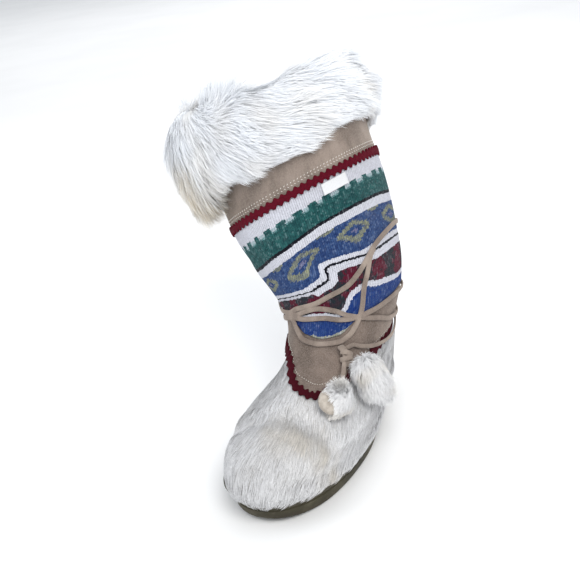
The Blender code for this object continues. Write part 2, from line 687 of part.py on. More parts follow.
def make_ball(name, place, half, finish=None, locks=0.0, seed=0, tilt=None):
    """A rounded lump with its half sizes in millimetres, with or without locks of fur."""
    bm = bmesh.new()
    bmesh.ops.create_icosphere(bm, subdivisions=2, radius=1.0)
    for vert in bm.verts:
        vert.co = [c * h * MM for c, h in zip(vert.co, half)]
    if tilt:
        bmesh.ops.rotate(bm, verts=bm.verts, cent=(0, 0, 0), matrix=Euler(tilt).to_matrix())
    if locks:
        grow_locks(bm, bm.faces[:], locks * MM, fall=0.6 * locks * MM, seed=seed)
    bmesh.ops.translate(bm, verts=bm.verts, vec=place_on_boot(*place))
    return from_bmesh(name, bm, finish)


def make_lace_end(name, finish):
    """One free end of the lace, a tube as wide as the thong."""
    route = np.array(LACE_ENDS[name]) * MM
    knots = np.concatenate([[0], np.cumsum(np.linalg.norm(np.diff(route, axis=0), axis=1))])
    at = np.linspace(0, knots[-1], END_POINTS)
    points = np.stack([through(knots, column, at) for column in route.T], -1)
    curve = bpy.data.curves.new(name, "CURVE")
    curve.dimensions = "3D"
    curve.bevel_depth = LACE_END_WIDTH / 2
    curve.bevel_resolution = 2
    curve.use_fill_caps = True
    run = curve.splines.new("POLY")
    run.points.add(len(points) - 1)
    for spot, point in zip(run.points, points):
        spot.co = (*point, 1)
    curve.materials.append(finish)
    made = bpy.data.objects.new(name, curve)
    bpy.data.collections[PARTS].objects.link(made)


def make_bore(name, end):
    """The cutter for the hole that a lace end runs into, along the end's last stretch."""
    last, tip = Vector(LACE_ENDS[end][-2]) * MM, Vector(LACE_ENDS[end][-1]) * MM
    way = (tip - last).normalized()
    start, stop = tip - way * 30 * MM, tip + way * CLEARANCE
    bm = bmesh.new()
    bmesh.ops.create_cone(bm, cap_ends=True, segments=12, radius1=BORE_RADIUS, radius2=BORE_RADIUS,
                          depth=(stop - start).length)
    turned = way.to_track_quat("Z", "Y").to_matrix()
    bmesh.ops.rotate(bm, verts=bm.verts, cent=(0, 0, 0), matrix=turned)
    bmesh.ops.translate(bm, verts=bm.verts, vec=(start + stop) / 2)
    return from_bmesh(name, bm)


def make_pompoms(fur):
    for name, ball in POMPOMS.items():
        made = make_ball(name, ball["place"], ball["half"], fur, ball["locks"], ball["seed"], ball["tilt"])
        if name == "pompom_front":
            pelt = made.modifiers.new("pelt", "BOOLEAN")
            pelt.operation = "UNION"
            pelt.object = make_ball("pelt_disc", PELT_PLACE, PELT_HALF, tilt=PELT_TILT)
        bore = made.modifiers.new("bore", "BOOLEAN")
        bore.operation = "DIFFERENCE"
        bore.object = make_bore(name + "_bore", ball["end"])


def make_label(finish):
    """A small woven label, left blank, bent to the leg."""
    bm = bmesh.new()
    across = np.linspace(*LABEL_WIDTH_TURN, 5)
    line = braid_line(across)
    rails = [add_ring(bm, on_rows(line - hang, across, out))
             for hang, out in ((LABEL_HANG[1], LABEL_OUT[0]), (LABEL_HANG[1], LABEL_OUT[1]),
                               (LABEL_HANG[0], LABEL_OUT[1]), (LABEL_HANG[0], LABEL_OUT[0]))]
    for rail, other in zip(rails, rails[1:] + rails[:1]):
        for j in range(len(across) - 1):
            bm.faces.new((rail[j], other[j], other[j + 1], rail[j + 1]))
    bm.faces.new([rail[0] for rail in rails])
    bm.faces.new([rail[-1] for rail in reversed(rails)])
    bmesh.ops.recalc_face_normals(bm, faces=bm.faces)
    return from_bmesh("label", bm, finish)


def main():
    for old in list(bpy.data.objects):
        bpy.data.objects.remove(old)
    for name in (PARTS, CUTTERS):
        bpy.context.scene.collection.children.link(bpy.data.collections.new(name))
    hide = material("hide", (0.80, 0.79, 0.77), 0.85)
    suede = material("suede", (0.57, 0.52, 0.48), 0.95)
    knit = material("knit", (0.33, 0.42, 0.52), 0.95)
    braid = material("braid", (0.42, 0.08, 0.17), 0.90)
    fur = material("fur", (0.93, 0.94, 0.95), 0.95)
    rubber = material("rubber", (0.27, 0.26, 0.21), 0.75)
    felt = material("felt", (0.80, 0.77, 0.70), 0.95)
    ribbon = material("ribbon", (0.88, 0.88, 0.87), 0.80)

    make_outsole(rubber)
    make_insole(felt)
    make_upper(hide)
    make_overlays(suede, knit)
    make_braid("lower_braid", lobe_line, PANEL_CLEARANCE + SUEDE + BRAID_SEAT, braid)
    make_braid("upper_braid", braid_line, CLEARANCE + KNIT + BRAID_SEAT, braid)
    make_fur_collar(fur)
    make_lace(suede)
    make_ball("lace_knot", KNOT_PLACE, KNOT_HALF, suede)
    for name in LACE_ENDS:
        make_lace_end(name, suede)
    make_pompoms(fur)
    make_label(ribbon)


if __name__ == "__main__":
    main()
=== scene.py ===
# %% [markdown]
# # Apres-ski boot for a left foot
# A maker builds this boot in layers: a rubber cup sole, a foot of short-haired hide, a suede ankle
# panel, a knitted sleeve, a suede top band and a roll of long fur. Two wavy braids hide the joins,
# and a flat suede thong with two fur pompoms is wound round the ankle.
# The solid model comes first and stays fixed. Its soft pieces are simple, so each one is made again
# here with its real surface, in the same place.

# %% Load the solid model
import bpy
import numpy as np
from mathutils import Euler, Matrix, Vector
from mathutils.kdtree import KDTree


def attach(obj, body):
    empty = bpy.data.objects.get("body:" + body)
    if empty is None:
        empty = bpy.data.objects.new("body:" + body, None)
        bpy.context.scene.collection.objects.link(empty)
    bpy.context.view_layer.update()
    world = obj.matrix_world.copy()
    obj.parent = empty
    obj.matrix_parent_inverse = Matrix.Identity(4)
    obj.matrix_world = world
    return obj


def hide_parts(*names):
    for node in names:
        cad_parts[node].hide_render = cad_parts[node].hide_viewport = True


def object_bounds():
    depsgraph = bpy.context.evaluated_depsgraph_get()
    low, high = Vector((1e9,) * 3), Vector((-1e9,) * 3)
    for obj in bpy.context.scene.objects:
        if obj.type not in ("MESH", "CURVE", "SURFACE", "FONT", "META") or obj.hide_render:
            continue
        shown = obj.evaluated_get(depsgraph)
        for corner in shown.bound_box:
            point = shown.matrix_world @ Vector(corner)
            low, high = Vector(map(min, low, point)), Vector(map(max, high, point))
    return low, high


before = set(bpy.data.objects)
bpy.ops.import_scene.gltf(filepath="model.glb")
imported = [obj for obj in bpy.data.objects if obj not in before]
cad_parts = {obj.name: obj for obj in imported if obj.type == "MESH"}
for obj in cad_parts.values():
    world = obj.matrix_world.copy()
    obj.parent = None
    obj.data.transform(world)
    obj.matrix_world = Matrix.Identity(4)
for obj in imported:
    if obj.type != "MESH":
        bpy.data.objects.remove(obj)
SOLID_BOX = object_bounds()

MM = 0.001
print("solid pieces:", ", ".join(sorted(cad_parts)))

# %% [markdown]
# ## The last
# Shoes are built over a last, a solid form of the foot. Here the last is a stack of level loops.
# A place on it is named by its height and its turn: 0 at the back of the heel, 0.25 at the outer
# side, 0.5 at the toe. The empty leg leans, so the loops follow a bent centre line. Every sheet,
# braid, lace and hair below is placed with the one function `skin`.

# %% Level loops of the last, in millimetres
LOOP_COLUMNS = ("height", "back", "front", "heel_half", "medial_half", "lateral_half",
                "heel_round", "inner_round", "outer_round", "toe_swing")
LOOPS = (
    (14, 33, -223, 34.0, 53.5, 48.0, 0.15, 0.64, 0.56, 9),
    (26, 37, -229, 39.5, 59.0, 54.5, 0.15, 0.64, 0.55, 10),
    (38, 39, -228, 41.5, 60.0, 57.5, 0.15, 0.63, 0.54, 10),
    (49, 40, -221, 43.0, 58.0, 57.5, 0.16, 0.62, 0.54, 9),
    (58, 40, -204, 44.0, 50.5, 55.0, 0.17, 0.60, 0.54, 8),
    (66, 41, -181, 45.0, 42.5, 52.5, 0.19, 0.58, 0.53, 6),
    (76, 41, -154, 43.5, 36.0, 51.0, 0.22, 0.56, 0.52, 4),
    (89, 42, -126, 42.0, 31.5, 53.0, 0.28, 0.54, 0.52, 2),
    (104, 44, -105, 43.5, 32.5, 59.0, 0.36, 0.52, 0.51, 1),
    (122, 47, -92, 49.0, 38.5, 66.0, 0.44, 0.50, 0.50, 0),
    (145, 52, -86, 59.5, 51.5, 72.0, 0.50, 0.50, 0.50, 0),
    (175, 57, -84, 68.5, 65.0, 75.0, 0.50, 0.50, 0.50, 0),
    (215, 60, -82, 74.0, 72.5, 77.0, 0.50, 0.50, 0.50, 0),
    (255, 62, -82, 77.0, 77.0, 79.0, 0.50, 0.50, 0.50, 0),
    (295, 64, -82, 79.0, 79.0, 80.0, 0.50, 0.50, 0.50, 0),
    (345, 66, -83, 81.0, 81.0, 82.0, 0.50, 0.50, 0.50, 0),
)
FEATHER_LINE = 14 * MM
HEEL_LIFT, TOE_SPRING, TREAD_SPRING = 4 * MM, 7 * MM, 9 * MM
BALL_Y, TOE_Y, HEEL_Y = -150 * MM, -236 * MM, -10 * MM
LEAN_START, LEAN_LENGTH, LEAN_CENTRE_Y = 80 * MM, 80 * MM, -18 * MM
LEAN_INWARD, LEAN_BACK = np.radians(22), np.radians(16)
RISE_FADES_FROM, RISE_FADES_OVER = 20 * MM, 60 * MM
HEEL_SHARE, SWING_FROM, SWING_POWER, END_POWER = 0.6, 0.35, 1.7, 2.15


def smooth(t):
    """0 up to 0, 1 from 1 on, and an easy rise between."""
    t = np.clip(t, 0, 1)
    return t * t * (3 - 2 * t)


def hill(t, power=2):
    """1 at 0, falling to 0 on both sides; a higher power gives it a flatter top."""
    return np.exp(-t ** power)


def unit(vectors):
    return vectors / (np.linalg.norm(vectors, axis=-1, keepdims=True) + 1e-12)


def through(knots, values, at):
    """A smooth curve through a column's values that never overshoots them."""
    step = np.diff(knots)
    rise = np.diff(values) / step
    slope = np.zeros(len(knots))
    for i in range(1, len(knots) - 1):
        if rise[i - 1] * rise[i] > 0:
            before, after = 2 * step[i] + step[i - 1], step[i] + 2 * step[i - 1]
            slope[i] = (before + after) / (before / rise[i - 1] + after / rise[i])
    slope[0], slope[-1] = rise[0], rise[-1]
    at = np.clip(at, knots[0], knots[-1])
    i = np.clip(np.searchsorted(knots, at, side="right") - 1, 0, len(knots) - 2)
    t = (at - knots[i]) / step[i]
    return ((2 * t**3 - 3 * t**2 + 1) * values[i] + (t**3 - 2 * t**2 + t) * step[i] * slope[i]
            + (3 * t**2 - 2 * t**3) * values[i + 1] + (t**3 - t**2) * step[i] * slope[i + 1])


ROUNDS = ("heel_round", "inner_round", "outer_round")
TABLE = {name: np.array([row[i] * (1 if name in ROUNDS else MM) for row in LOOPS], float)
         for i, name in enumerate(LOOP_COLUMNS)}
print("loops:", len(LOOPS), "from", LOOPS[0][0], "to", LOOPS[-1][0], "mm")

# %% From a height and a turn to a point


def end_round(t):
    """The rounding of a loop's end: 0 at the tip and 1 where the side runs straight."""
    return (1 - np.clip(1 - t, 0, 1) ** END_POWER) ** (1 / END_POWER)


def rise(y):
    """The feather line climbs at the heel and at the toe."""
    heel = HEEL_LIFT * smooth((y - BALL_Y) / (HEEL_Y - BALL_Y))
    return heel + TOE_SPRING * np.clip((BALL_Y - y) / (BALL_Y - TOE_Y), 0, 1.2) ** 2


def upright(height, turn):
    """A point of the last before its leg leans."""
    height, turn = np.broadcast_arrays(np.asarray(height, float), np.asarray(turn, float))
    row = {name: through(TABLE["height"], TABLE[name], height) for name in LOOP_COLUMNS[1:]}
    angle = 2 * np.pi * turn
    along = (1 - np.cos(angle)) / 2
    outer = np.sin(angle) >= 0
    ball = np.where(outer, row["lateral_half"], row["medial_half"])
    toe_round = np.where(outer, row["outer_round"], row["inner_round"])
    heel_end = row["heel_round"] * HEEL_SHARE
    half = row["heel_half"] + (ball - row["heel_half"]) * smooth((along - heel_end) / (toe_round - heel_end))
    half = half * end_round(along / row["heel_round"]) * end_round((1 - along) / (1 - toe_round))
    swing = np.clip((along - SWING_FROM) / (1 - SWING_FROM), 0, 1) ** SWING_POWER
    x = np.where(outer, half, -half) - row["toe_swing"] * swing
    y = row["back"] + (row["front"] - row["back"]) * along
    fades = smooth((height - RISE_FADES_FROM) / RISE_FADES_OVER)
    return np.stack([x, y, height + rise(y) * (1 - fades)], -1)


def leaned(points):
    """The points carried along the leg's bent centre line: an arc, then a straight run."""
    tangent = np.array([-np.tan(LEAN_INWARD), np.tan(LEAN_BACK)])
    full = np.arctan(np.hypot(*tangent))
    away = tangent / np.hypot(*tangent)
    radius = LEAN_LENGTH / full
    climbed = np.clip(points[..., 2] - LEAN_START, 0, None)
    angle = full * np.clip(climbed / LEAN_LENGTH, 0, 1)
    past = np.clip(climbed - LEAN_LENGTH, 0, None)
    x, y = points[..., 0], points[..., 1] - LEAN_CENTRE_Y
    along = x * away[0] + y * away[1]
    shifted = radius * (1 - np.cos(angle)) + past * np.sin(full) + along * np.cos(angle)
    lift = radius * np.sin(angle) + past * np.cos(full) - along * np.sin(angle)
    return np.stack([x + (shifted - along) * away[0], y + (shifted - along) * away[1] + LEAN_CENTRE_Y,
                     np.minimum(points[..., 2], LEAN_START) + lift], -1)


STEP_UP, STEP_ROUND = 1 * MM, 0.002       # how far apart two points are read to find a slope


def skin(height, turn, out=0.0):
    """A point on the last, or out from it along its normal."""
    height, turn = np.broadcast_arrays(np.asarray(height, float), np.asarray(turn, float))
    point = leaned(upright(height, turn))
    low = np.clip(height - STEP_UP / 2, TABLE["height"][0], TABLE["height"][-1] - STEP_UP)
    up = leaned(upright(low + STEP_UP, turn)) - leaned(upright(low, turn))
    round_ = leaned(upright(height, turn + STEP_ROUND)) - leaned(upright(height, turn - STEP_ROUND))
    normal = np.cross(up, round_)
    normal /= np.linalg.norm(normal, axis=-1, keepdims=True)
    return point + normal * np.broadcast_to(out, height.shape)[..., None]


print("toe tip at", skin(40 * MM, 0.5).round(3), "and back of the heel at", skin(40 * MM, 0.0).round(3))

# %% [markdown]
# ## Lines round the boot
# Seams are lines of height against turn. The ankle panel starts at its scalloped lower edge with a
# tongue-like lobe on the instep, the knit starts where the panel ends, and the top band starts at the
# upper braid. The slack leg stands higher on its inner side.

# %% Seam lines
# Each pair is a turn and a height in millimetres; the collar's seam is counted from the upper braid.
LOBE_LINE = ((0.00, 97), (0.12, 94), (0.21, 91), (0.28, 90), (0.335, 87.5), (0.385, 82), (0.44, 79),
             (0.49, 82.5), (0.52, 86.5), (0.555, 94), (0.61, 98), (0.72, 99), (0.86, 99))
ANKLE_LINE = ((0.00, 127), (0.13, 126), (0.22, 123), (0.29, 118), (0.36, 114.5), (0.395, 111),
              (0.425, 105.5), (0.46, 105), (0.50, 109), (0.54, 116), (0.62, 121), (0.75, 124),
              (0.88, 126))
BRAID_MEAN, BRAID_TILT, TILT_TURN = 219 * MM, 11 * MM, 0.13
COLLAR_ABOVE_BRAID = ((0.00, 59), (0.12, 55), (0.25, 57), (0.38, 57), (0.50, 62), (0.60, 72),
                      (0.70, 82), (0.80, 84), (0.90, 73))


def round_columns(table, turn):
    """The columns of a closed table (turn, value, value, ...) read smoothly at a turn."""
    rows = np.array(table, float)
    known = np.concatenate([rows[-3:, 0] - 1, rows[:, 0], rows[:3, 0] + 1])
    at = np.asarray(turn, float) % 1
    return [through(known, np.concatenate([column[-3:], column, column[:3]]), at)
            for column in rows.T[1:]]


def lobe_line(turn):
    """The ankle panel's lower edge."""
    return round_columns(LOBE_LINE, turn)[0] * MM


def ankle_line(turn):
    """Where the ankle panel ends and the knit starts."""
    return round_columns(ANKLE_LINE, turn)[0] * MM


def braid_line(turn):
    return BRAID_MEAN + BRAID_TILT * np.cos(2 * np.pi * (np.asarray(turn, float) - TILT_TURN))


def collar_line(turn):
    return braid_line(turn) + round_columns(COLLAR_ABOVE_BRAID, turn)[0] * MM


round_leg = np.linspace(0, 1, 721)
LEG_GIRTH = np.linalg.norm(np.diff(skin(braid_line(round_leg), round_leg), axis=0), axis=1).sum()
print("girth at the upper braid", round(LEG_GIRTH * 1000), "mm")

# %% [markdown]
# ## Working by hand in code
# A flat piece is cut as a grid, as cloth is cut flat. `cut_flat` adds it, `lay` puts each of its
# points on the last and writes its own UV map, and `sew_back` joins its two ends at the heel. Edit
# mode and modifiers finish the piece. Everything is deselected before each step, because an
# operator acts on all that is selected.

# %% Helpers for cut pieces
JOIN_WITHIN = 0.01 * MM


def cut_flat(name, columns, rows):
    """A square grid, 1 m wide round the origin, whose UV map runs from 0 to 1."""
    bpy.ops.object.select_all(action="DESELECT")
    bpy.ops.mesh.primitive_grid_add(x_subdivisions=columns, y_subdivisions=rows, size=1)
    piece = bpy.context.object
    piece.name = piece.data.name = name
    return piece


def lay(piece, place, cut=None):
    """Put the grid's points at place(u, v); cut(u, v) gives its UVs, which otherwise stay 0 to 1."""
    mesh = piece.data
    flat = np.empty(len(mesh.vertices) * 3)
    mesh.vertices.foreach_get("co", flat)
    u, v = flat.reshape(-1, 3)[:, :2].T + 0.5
    mesh.vertices.foreach_set("co", np.asarray(place(u, v), float).ravel())
    if cut:
        corner = np.empty(len(mesh.loops), int)
        mesh.loops.foreach_get("vertex_index", corner)
        at = np.stack(np.broadcast_arrays(*cut(u, v)), -1)[corner]
        mesh.uv_layers.active.data.foreach_set("uv", at.ravel())
    mesh.uv_layers.active.name = "cut"
    mesh.update()


def pick(piece):
    """Select one piece alone and make it the active one."""
    bpy.ops.object.select_all(action="DESELECT")
    piece.select_set(True)
    bpy.context.view_layer.objects.active = piece


def in_edit(piece, *steps):
    """Run operators on the whole of one piece in edit mode."""
    pick(piece)
    bpy.ops.object.mode_set(mode="EDIT")
    bpy.ops.mesh.select_all(action="SELECT")
    for step in steps:
        step()
    bpy.ops.object.mode_set(mode="OBJECT")


def sew_back(piece, flip=True):
    """Join the grid's two ends at the heel and turn its faces outwards."""
    in_edit(piece, lambda: bpy.ops.mesh.remove_doubles(threshold=JOIN_WITHIN))
    if flip:
        in_edit(piece, bpy.ops.mesh.flip_normals)


def apply_modifier(piece, kind, **settings):
    pick(piece)
    made = piece.modifiers.new(kind.lower(), kind)
    for setting, value in settings.items():
        setattr(made, setting, value)
    bpy.ops.object.modifier_apply(modifier=made.name)


def finish_piece(piece, finish, slot, *nodes):
    """Smooth shading, the material, the body that it rides on and the solids that it replaces."""
    pick(piece)
    bpy.ops.object.shade_smooth()
    piece.data.materials.clear()
    piece.data.materials.append(finish)
    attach(piece, "root")
    if nodes:
        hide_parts(*nodes)
    piece.data.calc_loop_triangles()
    print(piece.name, len(piece.data.loop_triangles), "triangles")
    return piece


# %% [markdown]
# ## Shader maths as expressions
# A finish is a tree of small sums. `Wire` holds one socket and turns Python's operators into Math
# and Vector Math nodes, so `1 - mask * 0.3` reads as it would on paper. Any other node comes from
# its one method `node`.

# %% The wire


class Wire:
    def __init__(self, tree, socket=None):
        self.tree, self.socket = tree, socket

    def node(self, kind, sockets=(), out=0, **settings):
        """Any node: its settings first, then a value or a wire for each named socket."""
        made = self.tree.nodes.new("ShaderNode" + kind)
        for setting, value in settings.items():
            setattr(made, setting, value)
        for socket, value in dict(sockets).items():
            if isinstance(value, Wire):
                self.tree.links.new(value.socket, made.inputs[socket])
            else:
                made.inputs[socket].default_value = value
        return Wire(self.tree, made.outputs[out])

    def sum(self, operation, *terms):
        """A Math node, or a Vector Math node where a term is a vector."""
        vector = any(isinstance(t, tuple) or isinstance(t, Wire) and t.socket.type == "VECTOR"
                     for t in terms)
        terms = [(t,) * 3 if vector and isinstance(t, (int, float)) else t for t in terms]
        return self.node("VectorMath" if vector else "Math", enumerate(terms), operation=operation)

    def __add__(self, other): return self.sum("ADD", self, other)
    def __radd__(self, other): return self.sum("ADD", other, self)
    def __sub__(self, other): return self.sum("SUBTRACT", self, other)
    def __rsub__(self, other): return self.sum("SUBTRACT", other, self)
    def __mul__(self, other): return self.sum("MULTIPLY", self, other)
    def __rmul__(self, other): return self.sum("MULTIPLY", other, self)
    def __truediv__(self, other): return self.sum("DIVIDE", self, other)
    def __abs__(self): return self.sum("ABSOLUTE", self)
    def __lt__(self, other): return self.sum("LESS_THAN", self, other)
    def __gt__(self, other): return self.sum("GREATER_THAN", self, other)
    def sine(self): return self.sum("SINE", self)
    def floor(self): return self.sum("FLOOR", self)
    def fraction(self): return self.sum("FRACT", self)
    def part(self, axis): return self.node("SeparateXYZ", {0: self}, out=axis)

    def over(self, low, high):
        """0 at low, 1 at high, and smooth between; low may be above high."""
        return self.node("MapRange", {0: self, 1: low, 2: high}, interpolation_type="SMOOTHSTEP")

    def between(self, low, high, soft):
        """1 from low to high and 0 beyond, with edges `soft` to each side."""
        return self.over(low - soft, low + soft) * self.over(high + soft, high - soft)

    def mix(self, low, high):
        """This wire is the factor: low at 0, high at 1."""
        return self.node("Mix", {0: self, 6: low, 7: high}, out=2, data_type="RGBA")

    def noise(self, scale, detail=2.0, rough=0.5):
        return self.node("TexNoise", {"Vector": self, "Scale": scale, "Detail": detail, "Roughness": rough})


def tone(red, green, blue):
    """A display colour, 0 to 255, as the shader's linear one."""
    linear = (((c / 255 + 0.055) / 1.055) ** 2.4 if c > 10 else c / 3294.6 for c in (red, green, blue))
    return (*linear, 1.0)


def new_finish(name, **constants):
    """A material, a wire to start from, and a function that plugs in what varies."""
    made = bpy.data.materials.new(name)
    made.use_nodes = True
    shader = made.node_tree.nodes["Principled BSDF"]
    for socket, value in constants.items():
        shader.inputs[socket.replace("_", " ").title().replace("Ior", "IOR")].default_value = value
    start = Wire(made.node_tree)

    def plug(colour=None, roughness=None, height=None, strength=0.5, distance=0.001):
        if height is not None:
            height = start.node("Bump", {"Height": height, "Strength": strength, "Distance": distance})
        for socket, value in (("Base Color", colour), ("Roughness", roughness), ("Normal", height)):
            if isinstance(value, Wire):
                made.node_tree.links.new(value.socket, shader.inputs[socket])
            elif value is not None:
                shader.inputs[socket].default_value = value
    return made, start, plug


print("helpers ready")

# %% [markdown]
# ## Rubber
# The cup sole is dark olive-brown rubber with a dull skin, lighter where dust lies and a little
# mottled. Large soft noise gives the mottling and fine noise the moulded grain.

# %% Rubber finish
RUBBER, start, plug = new_finish("rubber", roughness=0.7, specular_ior_level=0.35)
spot = start.node("TexCoord", out="Object")
mottle = spot.noise(28, 3)
grain = spot.noise(900, 2)
dust = spot.noise(90, 4, 0.7).over(0.52, 0.75)
body = mottle.over(0.3, 0.7).mix(tone(47, 42, 27), tone(74, 69, 52))
plug(colour=(dust * 0.35).mix(body, tone(112, 107, 92)), roughness=mottle * 0.2 + 0.58,
     height=grain + mottle * 0.6, strength=0.35, distance=0.0006)
print(len(RUBBER.node_tree.nodes), "nodes in", RUBBER.name)

# %% [markdown]
# ## Suede
# Suede is the napped flesh side of the hide: warm taupe, dull, with a bloom at grazing angles and
# shade marks where the nap lies another way. Two sizes of noise paint the marks, a stretched fine
# noise the short fibres, and sheen the bloom.

# %% Suede finish


def make_suede(name, light, dark, nap):
    """`nap` is the scale of the fibres' noise: the higher, the finer."""
    finish, start, plug = new_finish(name, sheen_weight=0.35, sheen_roughness=0.5,
                                     sheen_tint=tone(225, 215, 205), specular_ior_level=0.15)
    spot = start.node("TexCoord", out="Object")
    brushed = (spot * (1.0, 1.0, 0.45)).noise(60, 3, 0.6)
    marks = spot.noise(22, 2)
    fibre = (spot * (1.0, 1.0, 0.5)).noise(nap, 2, 0.7)
    colour = (brushed * 0.55 + marks * 0.45).over(0.36, 0.66).mix(dark, light)
    plug(colour=(fibre.over(0.3, 0.75) * 0.35).mix(colour, tone(178, 166, 156)),
         roughness=marks * 0.1 + 0.88, height=fibre + brushed * 0.5, strength=0.45, distance=0.0005)
    return finish


SUEDE = make_suede("napped_suede", tone(148, 134, 124), tone(108, 96, 88), 1300)
# Painted shade: the ankle panel wears a darker copy of the same suede, for the shade round the ankle.
SHADED_ANKLE_SUEDE = make_suede("ankle_suede", tone(124, 109, 100), tone(82, 70, 63), 1300)
THONG_SUEDE = make_suede("thong_suede", tone(154, 140, 129), tone(106, 93, 85), 1900)
print("suede:", SUEDE.name, SHADED_ANKLE_SUEDE.name, THONG_SUEDE.name)

# %% [markdown]
# ## Cup sole
# The sole is one ring of side wall round a patterned tread. The side is a grid of one column per
# few millimetres, laid on the last's outline at the lines of its section: tread edge, bulge, joint
# of slab and cup, rolled rim. Its open bottom and top are then filled, and wavy bars cut the lugs.

# %% Sole: outline, tread and section
# The side's section, row by row: the line it is counted from, millimetres above it and out from the
# last. The tread is the underside, the feather line is where the last begins.
SOLE_SIDE = (
    ("tread", 0.0, -1.2), ("tread", 0.5, -0.4), ("tread", 1.4, 0.4), ("tread", 3.5, 1.5),
    ("tread", 6.0, 2.1), ("feather", -4.2, 2.8), ("feather", -3.0, 3.0), ("feather", -2.6, 2.4),
    ("feather", -1.6, 2.4), ("feather", -1.2, 3.1), ("feather", 1.8, 3.4), ("rim", -1.0, 3.2),
    ("rim", -0.3, 2.8), ("rim", 0.0, 2.1), ("rim", 0.0, 0.9), ("rim", -0.6, 0.4),
    ("feather", 0.0, 0.4),
)
# The rolled rim stands higher round the toe: turn and millimetres above the tread.
RIM_LINE = ((0.00, 19.6), (0.12, 19.6), (0.25, 20.0), (0.34, 21.0), (0.40, 23.0), (0.48, 24.5),
            (0.55, 26.0), (0.62, 25.0), (0.72, 22.0), (0.85, 20.0))
ARCH_FRONT, ARCH_BACK, ARCH_DEPTH = -112 * MM, -34 * MM, 2.5 * MM
TREAD_SPRING_Y = -178 * MM
HEEL_BEVEL_Y, HEEL_BEVEL_LENGTH, HEEL_BEVEL = 22 * MM, 15 * MM, 2 * MM


def outline(height, turn, grow):
    """The upright form at a level, grown sideways."""
    tangent = (upright(height, turn + STEP_ROUND) - upright(height, turn - STEP_ROUND))[..., :2]
    tangent /= np.linalg.norm(tangent, axis=-1, keepdims=True)
    point = upright(height, turn)
    point[..., 0] -= tangent[..., 1] * grow
    point[..., 1] += tangent[..., 0] * grow
    return point


def tread(y):
    """The underside: flat at heel and ball, with the arch, the toe spring and a heel bevel."""
    arch = ARCH_DEPTH * np.sin(np.pi * np.clip((y - ARCH_FRONT) / (ARCH_BACK - ARCH_FRONT), 0, 1)) ** 2
    spring = TREAD_SPRING * np.clip((TREAD_SPRING_Y - y) / (TREAD_SPRING_Y - TOE_Y), 0, 1) ** 1.6
    return arch + spring + HEEL_BEVEL * np.clip((y - HEEL_BEVEL_Y) / HEEL_BEVEL_LENGTH, 0, 1)


def rim_line(turn):
    return round_columns(RIM_LINE, turn)[0] * MM


def sole_side(u, v):
    row = np.rint(v * (len(SOLE_SIDE) - 1)).astype(int)
    point = np.zeros((len(u), 3))
    for i, (line, above, out) in enumerate(SOLE_SIDE):
        here = row == i
        base = {"tread": FEATHER_LINE, "feather": FEATHER_LINE + above * MM,
                "rim": rim_line(u[here]) + above * MM}[line]
        point[here] = outline(base, u[here], out * MM)
        if line == "tread":
            point[here, 2] = tread(point[here, 1]) + above * MM
    return point


SOLE_COLUMNS = 192
sole = cut_flat("cup_sole", SOLE_COLUMNS, len(SOLE_SIDE) - 1)
lay(sole, sole_side)
sew_back(sole)
print("sole side", len(sole.data.vertices), "points")

# %% Sole: fill the bottom and the top
MID_SOLE = 11 * MM                         # a level between the open bottom and the open top


def fill_ring(piece, level):
    """Fill with a grid the open ring whose points' heights pass the test `level`."""
    in_edit(piece, lambda: bpy.ops.mesh.select_all(action="DESELECT"))
    mesh = piece.data
    count = np.zeros(len(mesh.edges), int)
    edge_index = {edge.key: edge.index for edge in mesh.edges}
    for face in mesh.polygons:
        for key in face.edge_keys:
            count[edge_index[key]] += 1
    for edge in mesh.edges:
        a, b = (mesh.vertices[i] for i in edge.vertices)
        edge.select = bool(count[edge.index] == 1 and level(a.co.z) and level(b.co.z))
    bpy.ops.object.mode_set(mode="EDIT")
    bpy.ops.mesh.select_mode(type="EDGE")
    bpy.ops.mesh.fill_grid(span=SOLE_COLUMNS // 4)
    bpy.ops.mesh.select_mode(type="VERT")
    bpy.ops.object.mode_set(mode="OBJECT")


fill_ring(sole, lambda z: z < MID_SOLE)
for vert in sole.data.vertices:
    if vert.select and vert.co.z < MID_SOLE:
        vert.co.z = tread(vert.co.y)
fill_ring(sole, lambda z: z > MID_SOLE)
in_edit(sole, bpy.ops.mesh.normals_make_consistent)
print("closed sole", len(sole.data.polygons), "faces")

# %% [markdown]
# ## Lugs
# Lugs are what is left between channels. A wavy bar is cut flat, laid across the sole and given
# thickness, once for each channel because every bar fits the sole's width at its place. The bars
# are joined, and a Boolean takes them all out at once.

# %% Cut the channels of the tread
GROOVE_WIDTH, GROOVE_DEPTH, GROOVE_MARGIN = 3.5 * MM, 2.5 * MM, 8 * MM
GROOVE_WAVE, GROOVE_STEP, POINTS_A_STEP = 2.5 * MM, 15 * MM, 6
BAR_THICK, EDGE_WITHIN, CREASE_ANGLE = 7 * MM, 4 * MM, np.radians(48)
GROOVE_PLACES = [-122 * MM - i * 12 * MM for i in range(8)] + [9 * MM, -9 * MM, -20 * MM]
sole_edge = outline(FEATHER_LINE, np.linspace(0, 1, 401), 0.0)


def channel_bar(y):
    """A wavy bar across the sole, at one place along it."""
    near = np.abs(sole_edge[:, 1] - y) < EDGE_WITHIN
    right = sole_edge[near & (sole_edge[:, 0] > 0), 0].min() - GROOVE_MARGIN
    left = sole_edge[near & (sole_edge[:, 0] < 0), 0].max() + GROOVE_MARGIN
    steps = POINTS_A_STEP * max(2, int(round((right - left) / GROOVE_STEP)))
    bar = cut_flat("channel_bar", steps, 1)
    floor = tread(np.array([y]))[0]

    def place(u, v):
        wave = y - GROOVE_WAVE / 2 * np.cos(np.pi * u * steps / POINTS_A_STEP)
        return np.stack([left + (right - left) * u, wave + (v - 0.5) * GROOVE_WIDTH,
                         np.full(len(u), floor + GROOVE_DEPTH)], -1)
    lay(bar, place)
    apply_modifier(bar, "SOLIDIFY", thickness=BAR_THICK, offset=-1)
    return bar


